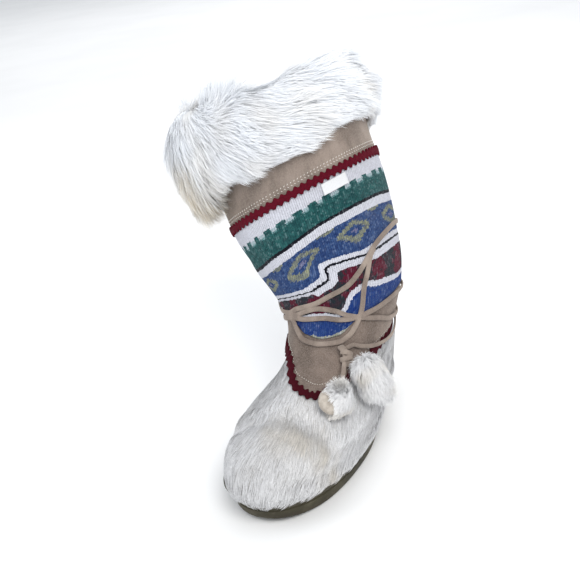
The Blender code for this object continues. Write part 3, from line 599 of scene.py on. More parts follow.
bars = [channel_bar(y) for y in GROOVE_PLACES]
bpy.ops.object.select_all(action="DESELECT")
for bar in bars:
    bar.select_set(True)
bpy.context.view_layer.objects.active = bars[0]
bpy.ops.object.join()
apply_modifier(sole, "BOOLEAN", operation="DIFFERENCE", object=bars[0], solver="EXACT")
bpy.data.objects.remove(bars[0])
finish_piece(sole, RUBBER, "sole_rubber", "outsole")
pick(sole)
bpy.ops.object.shade_smooth_by_angle(angle=CREASE_ANGLE)
print("lugs cut by", len(GROOVE_PLACES), "channels")

# %% [markdown]
# ## Insole
# The thick felt insole keeps its solid. It only needs the look of pressed wool: matted noise at two
# scales, no shine.

# %% Felt insole
FELT, start, plug = new_finish("wool_felt", sheen_weight=0.3, specular_ior_level=0.1)
spot = start.node("TexCoord", out="Object")
mat = spot.noise(260, 4, 0.75)
plug(colour=mat.over(0.3, 0.7).mix(tone(176, 168, 150), tone(216, 208, 192)), roughness=mat * 0.08 + 0.9,
     height=mat + spot.noise(1100, 1) * 0.6, strength=0.6, distance=0.0008)
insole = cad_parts["insole"]
for slot in insole.material_slots:
    slot.material = FELT
print("insole keeps its solid and wears", FELT.name)

# %% [markdown]
# ## How the slack leg lies
# An empty leg isn't a tube. Wide shallow hollows run over it, and on the instep a lobe of knit sags
# over the winding of the thong with a soft step below it. `slack` gives how far the outer sheets
# stand out from the last; all sheets use it, so that they stay together.

# %% Slack folds
# The soft step of the sag: turn and millimetres below the upper braid.
SAG_LINE = ((0.62, 72), (0.56, 73), (0.51, 75), (0.472, 74), (0.460, 71), (0.446, 67), (0.43, 66),
            (0.39, 69.5), (0.36, 73))
# The creases: from (turn, depth) to (turn, depth) below the upper braid, half width and how
# far they stand out, all in millimetres but the turns.
CREASES = (
    (0.580, 40, 0.515, 70, 5.0, -2.0), (0.555, 30, 0.500, 56, 7.0, 0.9),
    (0.300, 50, 0.375, 69, 6.0, -1.2), (0.270, 66, 0.345, 84, 6.0, 1.2),
    (0.505, -34, 0.470, -12, 7.0, -1.0), (0.400, -44, 0.330, -16, 8.0, -0.9),
    (0.640, 20, 0.700, 62, 8.0, -2.0), (0.780, 34, 0.860, 72, 8.0, -1.8),
    (0.940, 46, 1.040, 74, 7.0, -1.6), (0.110, 40, 0.200, 70, 8.0, -1.7),
    (0.700, -40, 0.760, -8, 8.0, -1.2), (0.100, -36, 0.170, -10, 8.0, -1.1),
)
SAG_OUT, SAG_TURN, SAG_HALF = 2.9, 0.475, 0.075
SAG_ABOVE, SAG_BELOW = 13 * MM, 3.2 * MM    # how far the lobe of the sag fades out each way
SLACK_FROM, SLACK_OVER = 150 * MM, 35 * MM  # the folds start above the ankle
LOBE_FROM, LOBE_OVER = 132 * MM, 8 * MM


def off(turn, centre):
    """How far a turn lies past another, from -0.5 to 0.5."""
    return (turn - centre + 0.5) % 1 - 0.5


def sag_line(turn):
    """Height of the soft step."""
    table = np.array(SAG_LINE[::-1], float)
    return braid_line(turn) - MM * np.interp(np.asarray(turn, float) % 1, table[:, 0], table[:, 1])


def creased(height, turn):
    """How far the listed creases push the sheets out, in millimetres."""
    depth, total = (braid_line(turn) - height) / MM, 0.0
    around = LEG_GIRTH / MM
    for first, high, last, low, width, out in CREASES:
        x = off(turn, (first + last) / 2)
        way = np.array([(last - first) * around, low - high])
        length = np.hypot(*way)
        x, y = x * around, depth - (high + low) / 2
        along, across = (x * way[0] + y * way[1]) / length, (y * way[0] - x * way[1]) / length
        ends = smooth((length / 2 + width - np.abs(along)) / (length / 2))
        total = total + out * ends * hill(across / width)
    return total


def slack(height, turn):
    """How far the outer sheets stand out from the last, in metres."""
    height, turn = np.broadcast_arrays(np.asarray(height, float), np.asarray(turn, float) % 1)
    free = smooth((height - SLACK_FROM) / SLACK_OVER)
    angle = 2 * np.pi * turn
    wide = (0.9 * np.sin(2 * angle + height / (30 * MM))
            + 0.8 * np.sin(3 * angle - height / (19 * MM) + 1.1)
            + 0.45 * np.sin(5 * angle + height / (11 * MM)))
    above = height - sag_line(turn)
    lobe = hill((turn - SAG_TURN) / SAG_HALF) * np.where(above > 0, hill(above / SAG_ABOVE),
                                                         hill(above / SAG_BELOW))
    sag = SAG_OUT * lobe * smooth((height - LOBE_FROM) / LOBE_OVER)
    return MM * ((wide + creased(height, turn)) * free + sag)


folds = slack(*np.meshgrid(np.linspace(0.15, 0.29, 60), np.linspace(0, 1, 90))) / MM
print("slack from", folds.min().round(1), "to", folds.max().round(1), "mm")

# %% [markdown]
# ## Ankle panel and top band
# Both are suede sheets 1.4 mm thick. The ankle panel is pulled in by the winding, so it has small
# cross wrinkles on the instep. Each is cut flat, laid between its two seam lines, joined at the
# heel, thickened with Solidify and rounded at its edges with Bevel.

# %% Suede sheets
# SHEET_GAP and PANEL_GAP lie between the last and a sheet's inner face. Where two sheets meet, each
# ends EDGE_GAP before the line.
EDGE_GAP = 0.1 * MM
SUEDE_THICK, KNIT_THICK, SHEET_GAP, PANEL_GAP = 1.4 * MM, 2.2 * MM, 0.34 * MM, 0.45 * MM
WRINKLE_TURN, WRINKLE_HALF, WRINKLE_OUT, WRINKLE_LONG = 0.47, 0.10, 0.22, 2.6 * MM


def wrinkle(height, turn):
    """Small cross wrinkles in front of the ankle, between the windings."""
    front = hill((np.asarray(turn) - WRINKLE_TURN) / WRINKLE_HALF)
    return MM * WRINKLE_OUT * front * np.sin(height / WRINKLE_LONG + 9 * np.sin(4 * np.pi * turn))


def panel_place(u, v):
    low, high = lobe_line(u), ankle_line(u) - EDGE_GAP
    height = low + (high - low) * v
    inside_edges = smooth(v * 4) * smooth(4 - 4 * v)
    return skin(height, u, PANEL_GAP + SUEDE_THICK + wrinkle(height, u) * inside_edges)


def band_place(u, v):
    low, high = braid_line(u) + EDGE_GAP, collar_line(u)
    height = low + (high - low) * v
    return skin(height, u, SHEET_GAP + SUEDE_THICK + slack(height, u))


def sheet_round(name, columns, rows, place, thick, cut=None):
    """A sheet that goes once round the boot, thickened inwards, with rounded edges."""
    sheet = cut_flat(name, columns, rows)
    lay(sheet, place, cut)
    sew_back(sheet)
    apply_modifier(sheet, "SOLIDIFY", thickness=thick, offset=-1)
    apply_modifier(sheet, "BEVEL", width=thick * 0.3, segments=2, limit_method="ANGLE",
                   angle_limit=np.radians(60), profile=0.6)
    return sheet


ankle_panel = sheet_round("ankle_suede", 200, 26, panel_place, SUEDE_THICK)
finish_piece(ankle_panel, SHADED_ANKLE_SUEDE, "suede", "ankle_panel")
top_band = sheet_round("top_suede", 180, 16, band_place, SUEDE_THICK)
finish_piece(top_band, SUEDE, "suede", "top_band")

# %% [markdown]
# ## Folk knit
# The sleeve is a jacquard knit: every stitch is one colour, so all edges of the pattern are steps of
# a stitch. The pattern is worked out on the sleeve's own UV: u goes once round the leg and v counts
# down from the upper braid. Both are rounded to whole stitches first, then bands, teeth, lozenges
# and blocks are plain comparisons. The rows of V-shaped loops are in the bump, and painted shade
# darkens their grooves in the colour.

# %% Knit finish: sizes and colours
WALES, COURSE = 244, 1.45                 # stitches once round, and millimetres in a row
DEPTH = 130.0                             # millimetres of knit that v = 0 to 1 counts
LOZENGES, TEETH, BLOCKS = 9, 33, 15       # how many there are once round
# Where the bands begin and end, in millimetres below the upper braid.
TEETH_PALE, TEAL_FROM, TOOTH_HIGH = (17.0, 22.0), 20.4, 4.5
UPPER_LINE, UPPER_WHITE, LOZENGE_BAND = (38.3, 41.3), (41.3, 47.2), (47.2, 70.4)
LOWER_LINE, BLOCK_BAND, BRIGHT_BAND = (73.6, 75.8), (79.4, 93.4), (96.2, 107.0)
LOZENGE_MIDDLE = 58.6
WHITE, PALE_TEAL = tone(222, 223, 233), tone(132, 172, 176)
TEAL, LIGHT_TEAL = tone(18, 66, 70), tone(52, 110, 108)
NAVY, BRIGHT = tone(16, 18, 28), tone(12, 48, 124)
MID_BLUE, LIGHT_BLUE = tone(32, 56, 108), tone(66, 94, 142)
OLIVE, MAROON, GREY = tone(146, 148, 116), tone(98, 20, 44), tone(40, 50, 56)

# %% Knit finish: pattern and loops
KNIT, start, plug = new_finish("folk_knit", sheen_weight=0.08, sheen_roughness=0.4,
                               specular_ior_level=0.08)
cut = start.node("UVMap", out="UV", uv_map="cut")
spot = start.node("TexCoord", out="Object")
stray, cloud = spot.noise(480, 2, 0.6) - 0.5, spot.noise(150, 3, 0.6)
u = cut.part("X")
depth = (1.0 - cut.part("Y")) * DEPTH
wale = (u * WALES + stray * 2.4).floor() / WALES
down = ((depth / COURSE + stray * 1.5).floor() + 0.5) * COURSE
stitch = start.node("TexWhiteNoise", {"Vector": (cut * (WALES, DEPTH / COURSE, 1.0)).floor()})


def wave_of(at, count, phase=0.0):
    """A zigzag of height 0 to 1 with `count` tips in one turn."""
    return abs((at * count + phase).fraction() * 2 - 1)


def band(high, low):
    """1 on the rows from one depth to another."""
    return (down > high) * (down < low)


mottle = spot.noise(310, 3, 0.7).over(0.34, 0.68) * 0.6 + stitch * 0.4
tooth = wave_of(wale, TEETH, 0.734) + (cloud - 0.5) * 0.5
colour = ((down + (tooth > 0.46) * TOOTH_HIGH) > TEAL_FROM).mix(WHITE, mottle.mix(TEAL, LIGHT_TEAL))
colour = (band(*TEETH_PALE) * (tooth < 0.46) * (0.25 + mottle * 0.75)).mix(colour, PALE_TEAL)
colour = band(*UPPER_LINE).mix(colour, NAVY)
across = wave_of(wale, LOZENGES, 0.17) * 27
lozenge = across * 0.38 + abs(down - LOZENGE_MIDDLE)
top_sprig = ((27 - across) * 0.34 + (down - LOZENGE_BAND[0])) < 4.2
figure = lozenge.between(4.6, 8.8, 0.3) * (across < 17.5) + top_sprig
figure = (figure * (0.35 + mottle * 0.75)).mix(mottle.mix(MID_BLUE, LIGHT_BLUE), OLIVE)
figure = ((lozenge < 1.8) * 0.35).mix(figure, tone(176, 164, 186))
colour = band(*LOZENGE_BAND).mix(colour, figure)
colour = band(*UPPER_WHITE).mix(colour, WHITE)
colour = (down > LOZENGE_BAND[1]).mix(colour, WHITE)
colour = band(*LOWER_LINE).mix(colour, NAVY)
block = (wave_of(wale, BLOCKS) + (cloud - 0.5) * 2.3 + stray * 0.6).over(0.36, 0.68)
block = (block * 0.85 + mottle * 0.4 - 0.12).mix(GREY, MAROON)
colour = band(*BLOCK_BAND).mix(colour, block)
colour = band(*BRIGHT_BAND).mix(colour, (mottle * 0.7).mix(BRIGHT, LIGHT_BLUE))
colour = (down > BRIGHT_BAND[1]).mix(colour, (mottle * 0.6).mix(OLIVE, WHITE))
loop = (u * WALES).fraction() * 2 - 1
vee = abs(loop)
row = (depth / COURSE + vee * 0.8).fraction()
rib = 1 - vee * vee
fuzz = (cut * (WALES * 4.0, 380.0, 1.0)).noise(1.0, 2, 0.7)
# Painted shade: the colour darkens towards near black in the grooves between wales and rows; each stitch and
# the fuzz also vary at random.
shade = rib * 0.34 + (1 - abs(row * 2 - 1)) * 0.18 + fuzz * 0.5
colour = (shade.over(0.16, 0.74) * 0.32 + stitch * 0.14 + 0.56).mix(tone(22, 22, 30), colour)
flecks = (stitch > 0.84) * 0.08 + fuzz.over(0.55, 0.8) * 0.10 + cloud.over(0.5, 0.75) * 0.06
colour = (flecks * rib.over(0.1, 0.9)).mix(colour, tone(206, 214, 224))
plug(colour=colour, roughness=0.93, height=rib * 0.9 + (1 - abs(row * 2 - 1)) * 0.5 + fuzz * 0.5,
     strength=0.8, distance=0.001)
print(len(KNIT.node_tree.nodes), "nodes in", KNIT.name)

# %% Knitted sleeve
# How far the pattern moves on the sleeve, each a turn and millimetres: the bands stray from the
# braid's line, step where the sag folds them, and sink under the windings.
STRAY_LINES = ((0.30, -3.8), (0.353, -4.6), (0.40, -5.0), (0.435, -4.9), (0.484, -1.5),
               (0.50, 0.2), (0.55, 1.9), (0.59, 3.3), (0.70, 2.5), (0.85, 0.0), (1.10, -1.0),
               (1.25, -1.6), (1.30, -3.8))
STEP_LINES = ((0.20, 0), (0.30, -0.9), (0.364, -1.3), (0.396, -4.3), (0.43, -7.2), (0.438, -6.6),
              (0.446, -3.8), (0.453, -1.2), (0.462, 0.2), (0.48, 0.6), (0.498, 2.2), (0.54, 0.2),
              (0.56, -0.8), (0.59, -2.0), (0.64, -1.0), (0.70, 0))
SINK_LINES = ((0.20, 2.5), (0.27, 4.2), (0.333, 0), (0.373, -1.7), (0.39, 0.2), (0.415, 3.4),
              (0.438, 4.6), (0.458, 0.6), (0.484, -3.6), (0.54, -4), (0.66, 0))


def knit_height(u, v):
    low, high = ankle_line(u) + EDGE_GAP, braid_line(u) - EDGE_GAP
    return low + (high - low) * v


def knit_place(u, v):
    height = knit_height(u, v)
    return skin(height, u, SHEET_GAP + KNIT_THICK + slack(height, u))


def knit_cut(u, v):
    """Where each point lies on the flat knit. The bands run a little askew, step and lean where
    the sag folds them, sink under the windings, and part of a white band is lost in the fold."""
    depth = (braid_line(u) - knit_height(u, v)) * 1000
    askew = np.interp((u - 0.30) % 1 + 0.30, *np.array(STRAY_LINES).T) * smooth(depth / 40)
    leaning = u + 0.003 * np.clip(depth - 70, -8, 8)
    step = sum(np.interp(leaning + aside, *np.array(STEP_LINES).T) for aside in (-0.006, 0, 0.006)) / 3
    step = step * smooth((depth - 46) / 18) * smooth((102 - depth) / 14)
    flat = depth - askew * smooth((78 - depth) / 30) - step
    sink = np.interp(u, *np.array(SINK_LINES).T) * smooth((flat - 82) / 10) * smooth((113 - flat) / 12)
    lost = 3.4 * smooth((u - 0.468) / 0.014) * smooth((0.64 - u) / 0.05)
    flat = flat + lost * smooth((flat - 75.4) / 1.2) * smooth((90 - flat) / 9)
    return u, 1 - (flat - sink) / DEPTH


knit = sheet_round("knit", 280, 58, knit_place, KNIT_THICK, knit_cut)
finish_piece(knit, KNIT, "knit", "knit_sleeve")

# %% [markdown]
# ## Wavy braid
# Ric-rac is a flat tape woven in a zigzag. Its middle line swings from side to side and its edges
# follow, so it is a grid laid along the seam line with a swinging centre, a domed face and
# diagonal cords in the bump. Measured across, the tape and its swing together are about 10 mm wide.

# %% Braid finish and a frame along a line
TAPE_WIDTH, TAPE_THICK, TAPE_CROWN = 7.0 * MM, 1.3 * MM, 0.45 * MM
TAPE_SWING, TAPE_SHARP = 1.2 * MM, 0.10 * MM       # the swing and the sharpness of its points
POINTS_A_WAVE, TAPE_ROWS, NEAR_TURN = 8, 6, 0.001

BRAID, start, plug = new_finish("dark_red_braid", sheen_weight=0.07, sheen_roughness=0.4,
                                sheen_tint=tone(180, 50, 80), specular_ior_level=0.15)
cut = start.node("UVMap", out="UV", uv_map="cut")
twill = ((cut.part("X") * 620 + abs(cut.part("Y") * 2 - 1) * 2.2).fraction() * 2 - 1)
cord = 1 - twill * twill
spot = start.node("TexCoord", out="Object")
fuzz = spot.noise(1500, 2)
colour = (cord * 0.6 + fuzz * 0.6).over(0.25, 0.95).mix(tone(48, 2, 14), tone(108, 8, 34))
# Painted shade: the braid darkens below 135 mm, for the shade round the ankle.
painted_low_shade = spot.part("Z").over(0.135, 0.100) * 0.6
plug(colour=painted_low_shade.mix(colour, tone(36, 1, 8)), roughness=0.85,
     height=cord + fuzz * 0.4, strength=0.8, distance=0.0006)


def on_line(line, turn, out):
    """Points on a line round the boot with the unit vectors along it, across it and out of it."""
    height = line(turn)
    centre, further = skin(height, turn, out), skin(height, turn, np.asarray(out) + STEP_UP)
    before, after = turn - NEAR_TURN, turn + NEAR_TURN
    along = skin(line(after), after, out) - skin(line(before), before, out)
    along /= np.linalg.norm(along, axis=-1, keepdims=True)
    normal = (further - centre) / np.linalg.norm(further - centre, axis=-1, keepdims=True)
    across = np.cross(along, normal)
    return centre, along, across / np.linalg.norm(across, axis=-1, keepdims=True), normal


def make_wavy_braid(name, line, out, waves, node):
    """A tape on a seam line; out(height, turn) is its distance from the last."""
    tape = cut_flat(name, waves * POINTS_A_WAVE, TAPE_ROWS)

    def place(u, v):
        centre, along, across, normal = on_line(line, u, out(line(u), u))
        swing = TAPE_SWING * np.sin(2 * np.pi * waves * u) + TAPE_SHARP * np.sin(6 * np.pi * waves * u)
        side = (v - 0.5) * TAPE_WIDTH + swing
        crown = TAPE_CROWN * (1 - (2 * v - 1) ** 2)
        return centre + across * side[:, None] + normal * crown[:, None]
    lay(tape, place)
    sew_back(tape)
    apply_modifier(tape, "SOLIDIFY", thickness=TAPE_THICK, offset=-1)
    in_edit(tape, bpy.ops.mesh.normals_make_consistent)
    return finish_piece(tape, BRAID, "braid", node)


make_wavy_braid("upper_ric_rac", braid_line,
                lambda h, t: SHEET_GAP + KNIT_THICK + 1.5 * MM + slack(h, t), 78, "upper_braid")
make_wavy_braid("lower_ric_rac", lobe_line, lambda h, t: PANEL_GAP + SUEDE_THICK + 1.2 * MM, 60,
                "lower_braid")

# %% [markdown]
# ## Stitching
# The suede is sewn with thick beige thread: one row inside the lobe's braid and two rows above the
# upper one. A stitch is modelled once, as a short thread that dips at both ends, and copied along
# its row by reading its points and moving them.

# %% Stitch rows
STITCH_SHARES, STITCH_DIP = (1.0, 0.38, 0.32), 0.35  # length, width and height of one that is 1 long

THREAD, start, plug = new_finish("beige_thread", sheen_weight=0.3, specular_ior_level=0.2)
spot = start.node("TexCoord", out="Object")
ply = spot.noise(2600, 1)
plug(colour=ply.over(0.3, 0.7).mix(tone(214, 208, 198), tone(238, 234, 228)), roughness=0.85,
     height=ply, strength=0.4, distance=0.0003)

bpy.ops.object.select_all(action="DESELECT")
bpy.ops.mesh.primitive_uv_sphere_add(segments=6, ring_count=5, radius=0.5)
stitch = bpy.context.object
in_edit(stitch, lambda: bpy.ops.transform.resize(value=STITCH_SHARES))
stitch_points = np.array([v.co for v in stitch.data.vertices])
stitch_points[:, 2] -= STITCH_DIP * stitch_points[:, 0] ** 2
stitch_faces = [list(face.vertices) for face in stitch.data.polygons]
bpy.data.objects.remove(stitch)


def stitch_row(line, above, out, count, length, lean):
    """Points of a row of stitches that runs `above` millimetres over a line round the boot.

    Each stitch is `length` millimetres long and turned by `lean` from the line.
    """
    turn = (np.arange(count) + 0.5) / count

    def row(at):
        return line(at) + above * MM
    centre, along, across, normal = on_line(row, turn, out(row(turn), turn))
    way = along * np.cos(lean) + across * np.sin(lean)
    side = np.cross(normal, way)
    shape = stitch_points[None] * length * MM
    return (centre[:, None] + shape[..., :1] * way[:, None] + shape[..., 1:2] * side[:, None]
            + shape[..., 2:] * normal[:, None])


def on_band(height, turn):
    return SHEET_GAP + SUEDE_THICK + 0.3 * MM + slack(height, turn)


def on_panel(height, turn):
    return PANEL_GAP + SUEDE_THICK + 0.05 * MM


# Line, millimetres above it, distance from the last, how many, millimetres long, lean.
SEWN = [(braid_line, 6.8, on_band, 152, 1.8, 0.5), (braid_line, 9.4, on_band, 152, 1.8, -0.5),
        (lobe_line, 4.5, on_panel, 170, 1.4, 0.1)]
rows = np.concatenate([stitch_row(*row) for row in SEWN])
size = len(stitch_points)
faces = [[k * size + i for i in face] for k in range(len(rows)) for face in stitch_faces]
mesh = bpy.data.meshes.new("stitches")
mesh.from_pydata(rows.reshape(-1, 3), [], faces)
stitches = bpy.data.objects.new("stitches", mesh)
bpy.context.collection.objects.link(stitches)
finish_piece(stitches, THREAD, "suede")
print(len(rows), "stitches")

# %% [markdown]
# ## Hide foot and lining
# The foot is hide with its hair on. Under the hair lies the skin itself, greyer than the hair, with
# a shallow hollow across the vamp where the foot bends. Inside, the lining is pale fleece.

# %% Hide skin and fleece
HOLLOW_Y, HOLLOW_SLANT, HOLLOW_HALF, HOLLOW_DEEP = -171 * MM, 0.12, 8 * MM, 2.3 * MM
FOLD_AT, FOLD_HALF, FOLD_HIGH = 2.0, 1.1, 1.0 * MM   # the first two in half widths of the hollow
VAMP_FROM, VAMP_OVER = 36 * MM, 18 * MM
HIDE_LOW, HIDE_TUCK, HIDE_IN, HIDE_THICK = 13.2 * MM, 7 * MM, 0.25 * MM, 1.5 * MM
LINING_LOW, LINING_HIGH, LINING_THICK = 0.6 * MM, 1 * MM, 1.0 * MM

HIDE, start, plug = new_finish("hide_skin", sheen_weight=0.2, specular_ior_level=0.2)
spot = start.node("TexCoord", out="Object")
streak = (spot * (1.0, 0.16, 0.4)).noise(420, 3, 0.6)
patch = spot.noise(24, 3)
plug(colour=(streak * 0.6 + patch * 0.4).over(0.34, 0.62).mix(tone(176, 172, 168), tone(214, 212, 210)),
     roughness=0.85, height=streak, strength=0.3, distance=0.001)

FLEECE, start, plug = new_finish("fleece", sheen_weight=0.4, specular_ior_level=0.1)
spot = start.node("TexCoord", out="Object")
curl = spot.noise(330, 4, 0.8)
plug(colour=curl.over(0.3, 0.7).mix(tone(188, 184, 174), tone(232, 230, 224)), roughness=0.95,
     height=curl, strength=0.9, distance=0.0015)


def vamp_hollow(height, turn):
    """How far the hide stands out: a shallow hollow runs across the vamp, with a soft fold above it."""
    point = skin(height, turn)
    along = (point[..., 1] - HOLLOW_Y + HOLLOW_SLANT * point[..., 0]) / HOLLOW_HALF
    fold = hill((along - FOLD_AT) / FOLD_HALF) * FOLD_HIGH
    return (fold - HOLLOW_DEEP * hill(along)) * smooth((point[..., 2] - VAMP_FROM) / VAMP_OVER)


def hide_place(u, v):
    """From just under the feather line to a little way up under the ankle panel."""
    height = HIDE_LOW + (lobe_line(u) + HIDE_TUCK - HIDE_LOW) * v
    return skin(height, u, -HIDE_IN + vamp_hollow(height, u))


def lining_place(u, v):
    """2.9 mm inside the last in the foot and 1.9 mm in the leg."""
    height = FEATHER_LINE + LINING_LOW + (collar_line(u) - LINING_HIGH - FEATHER_LINE) * v
    return skin(height, u, -(2.9 - 1.0 * smooth((height - 90 * MM) / (40 * MM))) * MM)


hide = sheet_round("hide_foot", 180, 36, hide_place, HIDE_THICK)
finish_piece(hide, HIDE, "hide", "upper")
lining = sheet_round("lining", 120, 36, lining_place, LINING_THICK)
finish_piece(lining, FLEECE, "felt", "upper")

# %% [markdown]
# ## Growing hair
# Hair can't be modelled face by face, so each hair is worked out as a thin tapered ribbon of a few
# faces. A `Pelt` is a form read on a fine grid: hairs are sown on it evenly by area and then walk
# over it, so short hair hugs the form and long hair can leave it. Hairs near each other bend to a
# shared lock, which gives fur its clumps.

# %% Pelt


class Pelt:
    def __init__(self, points, outward):
        """points: a grid (turns, rows, 3) closed in turn; outward: 1 or -1, the side of the hair."""
        self.points = points
        by_turn = (np.roll(points, -1, 0) - np.roll(points, 1, 0)) * len(points) / 2
        by_row = np.gradient(points, axis=1) * (points.shape[1] - 1)
        normal = np.cross(by_turn, by_row) * outward
        self.area = np.linalg.norm(normal, axis=-1)
        normal = normal / (self.area[..., None] + 1e-12)
        self.fields = np.concatenate([points, by_turn, by_row, normal], -1)

    def read(self, u, v):
        """Position, change by turn, change by row and normal, read smoothly at (u, v)."""
        n, m = self.area.shape
        x, y = (u % 1) * n, np.clip(v, 0, 1) * (m - 1)
        i, j = x.astype(int) % n, np.clip(y.astype(int), 0, m - 2)
        a, b = (x - np.floor(x))[:, None], (y - j)[:, None]
        f = self.fields
        got = ((f[i, j] * (1 - a) + f[(i + 1) % n, j] * a) * (1 - b)
               + (f[i, j + 1] * (1 - a) + f[(i + 1) % n, j + 1] * a) * b)
        normal = got[:, 9:] / np.linalg.norm(got[:, 9:], axis=1)[:, None]
        return got[:, :3], got[:, 3:6], got[:, 6:9], normal

    def sow(self, count, chance, keep):
        """Even seeds: (u, v) for about `count` hairs; keep(u, v) thins them."""
        cell = chance.choice(self.area.size, count, p=(self.area / self.area.sum()).ravel())
        i, j = np.divmod(cell, self.area.shape[1])
        u = (i + chance.random(count)) / self.area.shape[0]
        v = (j + chance.random(count) - 0.5) / (self.area.shape[1] - 1)
        inside = (v > 0) & (v < 1) & (chance.random(count) < keep(u, v))
        return u[inside], v[inside]

    def walk(self, u, v, way, step):
        """Move over the form by `step` in the world direction `way`, as far as the form allows."""
        _, by_turn, by_row, _ = self.read(u, v)
        pairs = (by_turn, by_turn), (by_turn, by_row), (by_row, by_row)
        tt, tr, rr = ((a * b).sum(1) for a, b in pairs)
        wt, wr = (way * by_turn).sum(1), (way * by_row).sum(1)
        scale = tt * rr - tr * tr + 1e-18
        du, dv = (rr * wt - tr * wr) / scale, (tt * wr - tr * wt) / scale
        moved = np.linalg.norm(by_turn * du[:, None] + by_row * dv[:, None], axis=1) + 1e-12
        return u + du / moved * step, v + dv / moved * step


def ripples(points, size, seed):
    """Soft noise from -1 to 1 over points in metres; `size` is its wavelength."""
    chance = np.random.default_rng(seed)
    total = np.zeros(points.shape[:-1])
    for _ in range(7):
        way = unit(chance.normal(size=3)) * 2 * np.pi / (size * chance.uniform(0.7, 1.4))
        total = total + np.sin(points @ way + chance.uniform(0, 6.3))
    return total / 2.6


def drift(points, size, seeds):
    """Soft noise in three directions, so that neighbouring hairs stray together."""
    return np.stack([ripples(points, size, seed) for seed in seeds], -1)


def gather(spine, per_lock, pull, chance):
    """Bend each hair towards the nearest of the hairs that lead a lock."""
    leaders = chance.choice(len(spine), max(1, len(spine) // per_lock), replace=False)
    tree = KDTree(len(leaders))
    for k, leader in enumerate(leaders):
        tree.insert(spine[leader, 0], k)
    tree.balance()
    nearest = leaders[[tree.find(root)[1] for root in spine[:, 0]]]
    share = (np.linspace(0, 1, spine.shape[1]) ** 1.2)[None, :, None] * pull
    return spine * (1 - share) + spine[nearest] * share


def make_hairs(name, spine, normal, width, tint, finish, slot, *nodes):
    """One mesh of tapered ribbons.

    spine: (hairs, points, 3), normal: (hairs, 3), width: (hairs), tint: (hairs, points, 3).
    """
    hairs, points = spine.shape[:2]
    along = unit(np.gradient(spine, axis=1))
    side = unit(np.cross(along, normal[:, None]))
    taper = np.interp(np.linspace(0, 1, points), (0, 0.25, 0.7, 1), (0.75, 1.0, 0.7, 0.0))
    half = (width[:, None] * taper / 2)[..., None]
    left, right = spine - side * half, spine + side * half
    rail = 2 * (points - 1)
    block = np.empty((hairs, rail + 1, 3))
    block[:, 0:rail:2], block[:, 1:rail:2], block[:, rail] = left[:, :-1], right[:, :-1], spine[:, -1]
    shades = np.empty((hairs, rail + 1, 3))
    shades[:, 0:rail:2], shades[:, 1:rail:2], shades[:, rail] = tint[:, :-1], tint[:, :-1], tint[:, -1]
    first = np.arange(hairs)[:, None] * (rail + 1)
    corners, sizes, where = [], [], []
    for k in range(points - 2):
        corners.append(first + np.array([2 * k, 2 * k + 1, 2 * k + 3, 2 * k + 2]))
        where.append([(0, k), (1, k), (1, k + 1), (0, k + 1)])
        sizes.append(4)
    corners.append(first + np.array([rail - 2, rail - 1, rail]))
    where.append([(0, points - 2), (1, points - 2), (0.5, points - 1)])
    sizes.append(3)
    loops = np.concatenate(corners, 1).ravel()
    counts = np.tile(sizes, hairs)
    mesh = bpy.data.meshes.new(name)
    mesh.vertices.add(hairs * (rail + 1))
    mesh.vertices.foreach_set("co", block.ravel())
    mesh.loops.add(len(loops))
    mesh.loops.foreach_set("vertex_index", loops)
    mesh.polygons.add(len(counts))
    mesh.polygons.foreach_set("loop_start", np.concatenate([[0], np.cumsum(counts)[:-1]]))
    mesh.update(calc_edges=True)
    colours = mesh.color_attributes.new("tint", "FLOAT_COLOR", "POINT")
    opaque = np.ones((*shades.shape[:2], 1))
    colours.data.foreach_set("color", np.concatenate([shades, opaque], -1).ravel())
    # Each hair has a cell of its own in the OFBake map, so no two hairs share one.
    across = int(np.ceil(np.sqrt(hairs)))
    cell = np.stack(np.divmod(np.arange(hairs), across), -1)[:, None, :]
    spots = np.array([(0.2 + 0.6 * a, 0.1 + 0.8 * b / (points - 1))
                      for face in where for a, b in face])
    uv = (cell + spots[None]) / across
    layer = mesh.uv_layers.new(name="OFBake")
    layer.data.foreach_set("uv", uv.ravel())
    made = bpy.data.objects.new(name, mesh)
    bpy.context.collection.objects.link(made)
    return finish_piece(made, finish, slot, *nodes)


def hair_finish(name, roughness, darkest, **constants):
    """Hair takes its colour from the tint painted on each hair, with fine flecks down to `darkest`."""
    finish, start, plug = new_finish(name, **constants)
    tint = start.node("Attribute", out="Color", attribute_name="tint")
    flick = start.node("TexCoord", out="Object").noise(700, 1)
    shade = flick.over(0.25, 0.75).mix((darkest, darkest, darkest, 1), (1.0, 1.0, 1.0, 1))
    mixed = start.node("Mix", {0: 1.0, 6: tint, 7: shade}, out=2, data_type="RGBA",
                       blend_type="MULTIPLY")
    plug(colour=mixed, roughness=flick * 0.1 + roughness)
    return finish


print("pelt tools ready")

# %% [markdown]
# ## Hair of the foot
# The hide's hair is 8 to 16 mm long, lies close and is combed down to the toe, fanning a little to
# both sides. It ends over the rim of the sole in a jagged hem. Most hairs are grey-white, some dark,
# and a tan patch lies across the vamp.

# %% Sow and comb the foot's hair
HIDE_HAIR = hair_finish("hide_hair", 0.5, 0.88, sheen_weight=0.15, specular_ior_level=0.3)
FOOT_LOW, FOOT_TOP, RIM_FADE = 9 * MM, 118 * MM, 15 * MM
JAGS = 340                                 # tips of the hem once round
HAIR_LONG, HAIR_WIDE, HAIR_STEPS = (8, 16), (0.28, 0.54), 3
grid_turn = np.arange(720)[:, None] / 720
grid_height = (FOOT_LOW + (FOOT_TOP - FOOT_LOW) * np.linspace(0, 1, 110))[None, :]
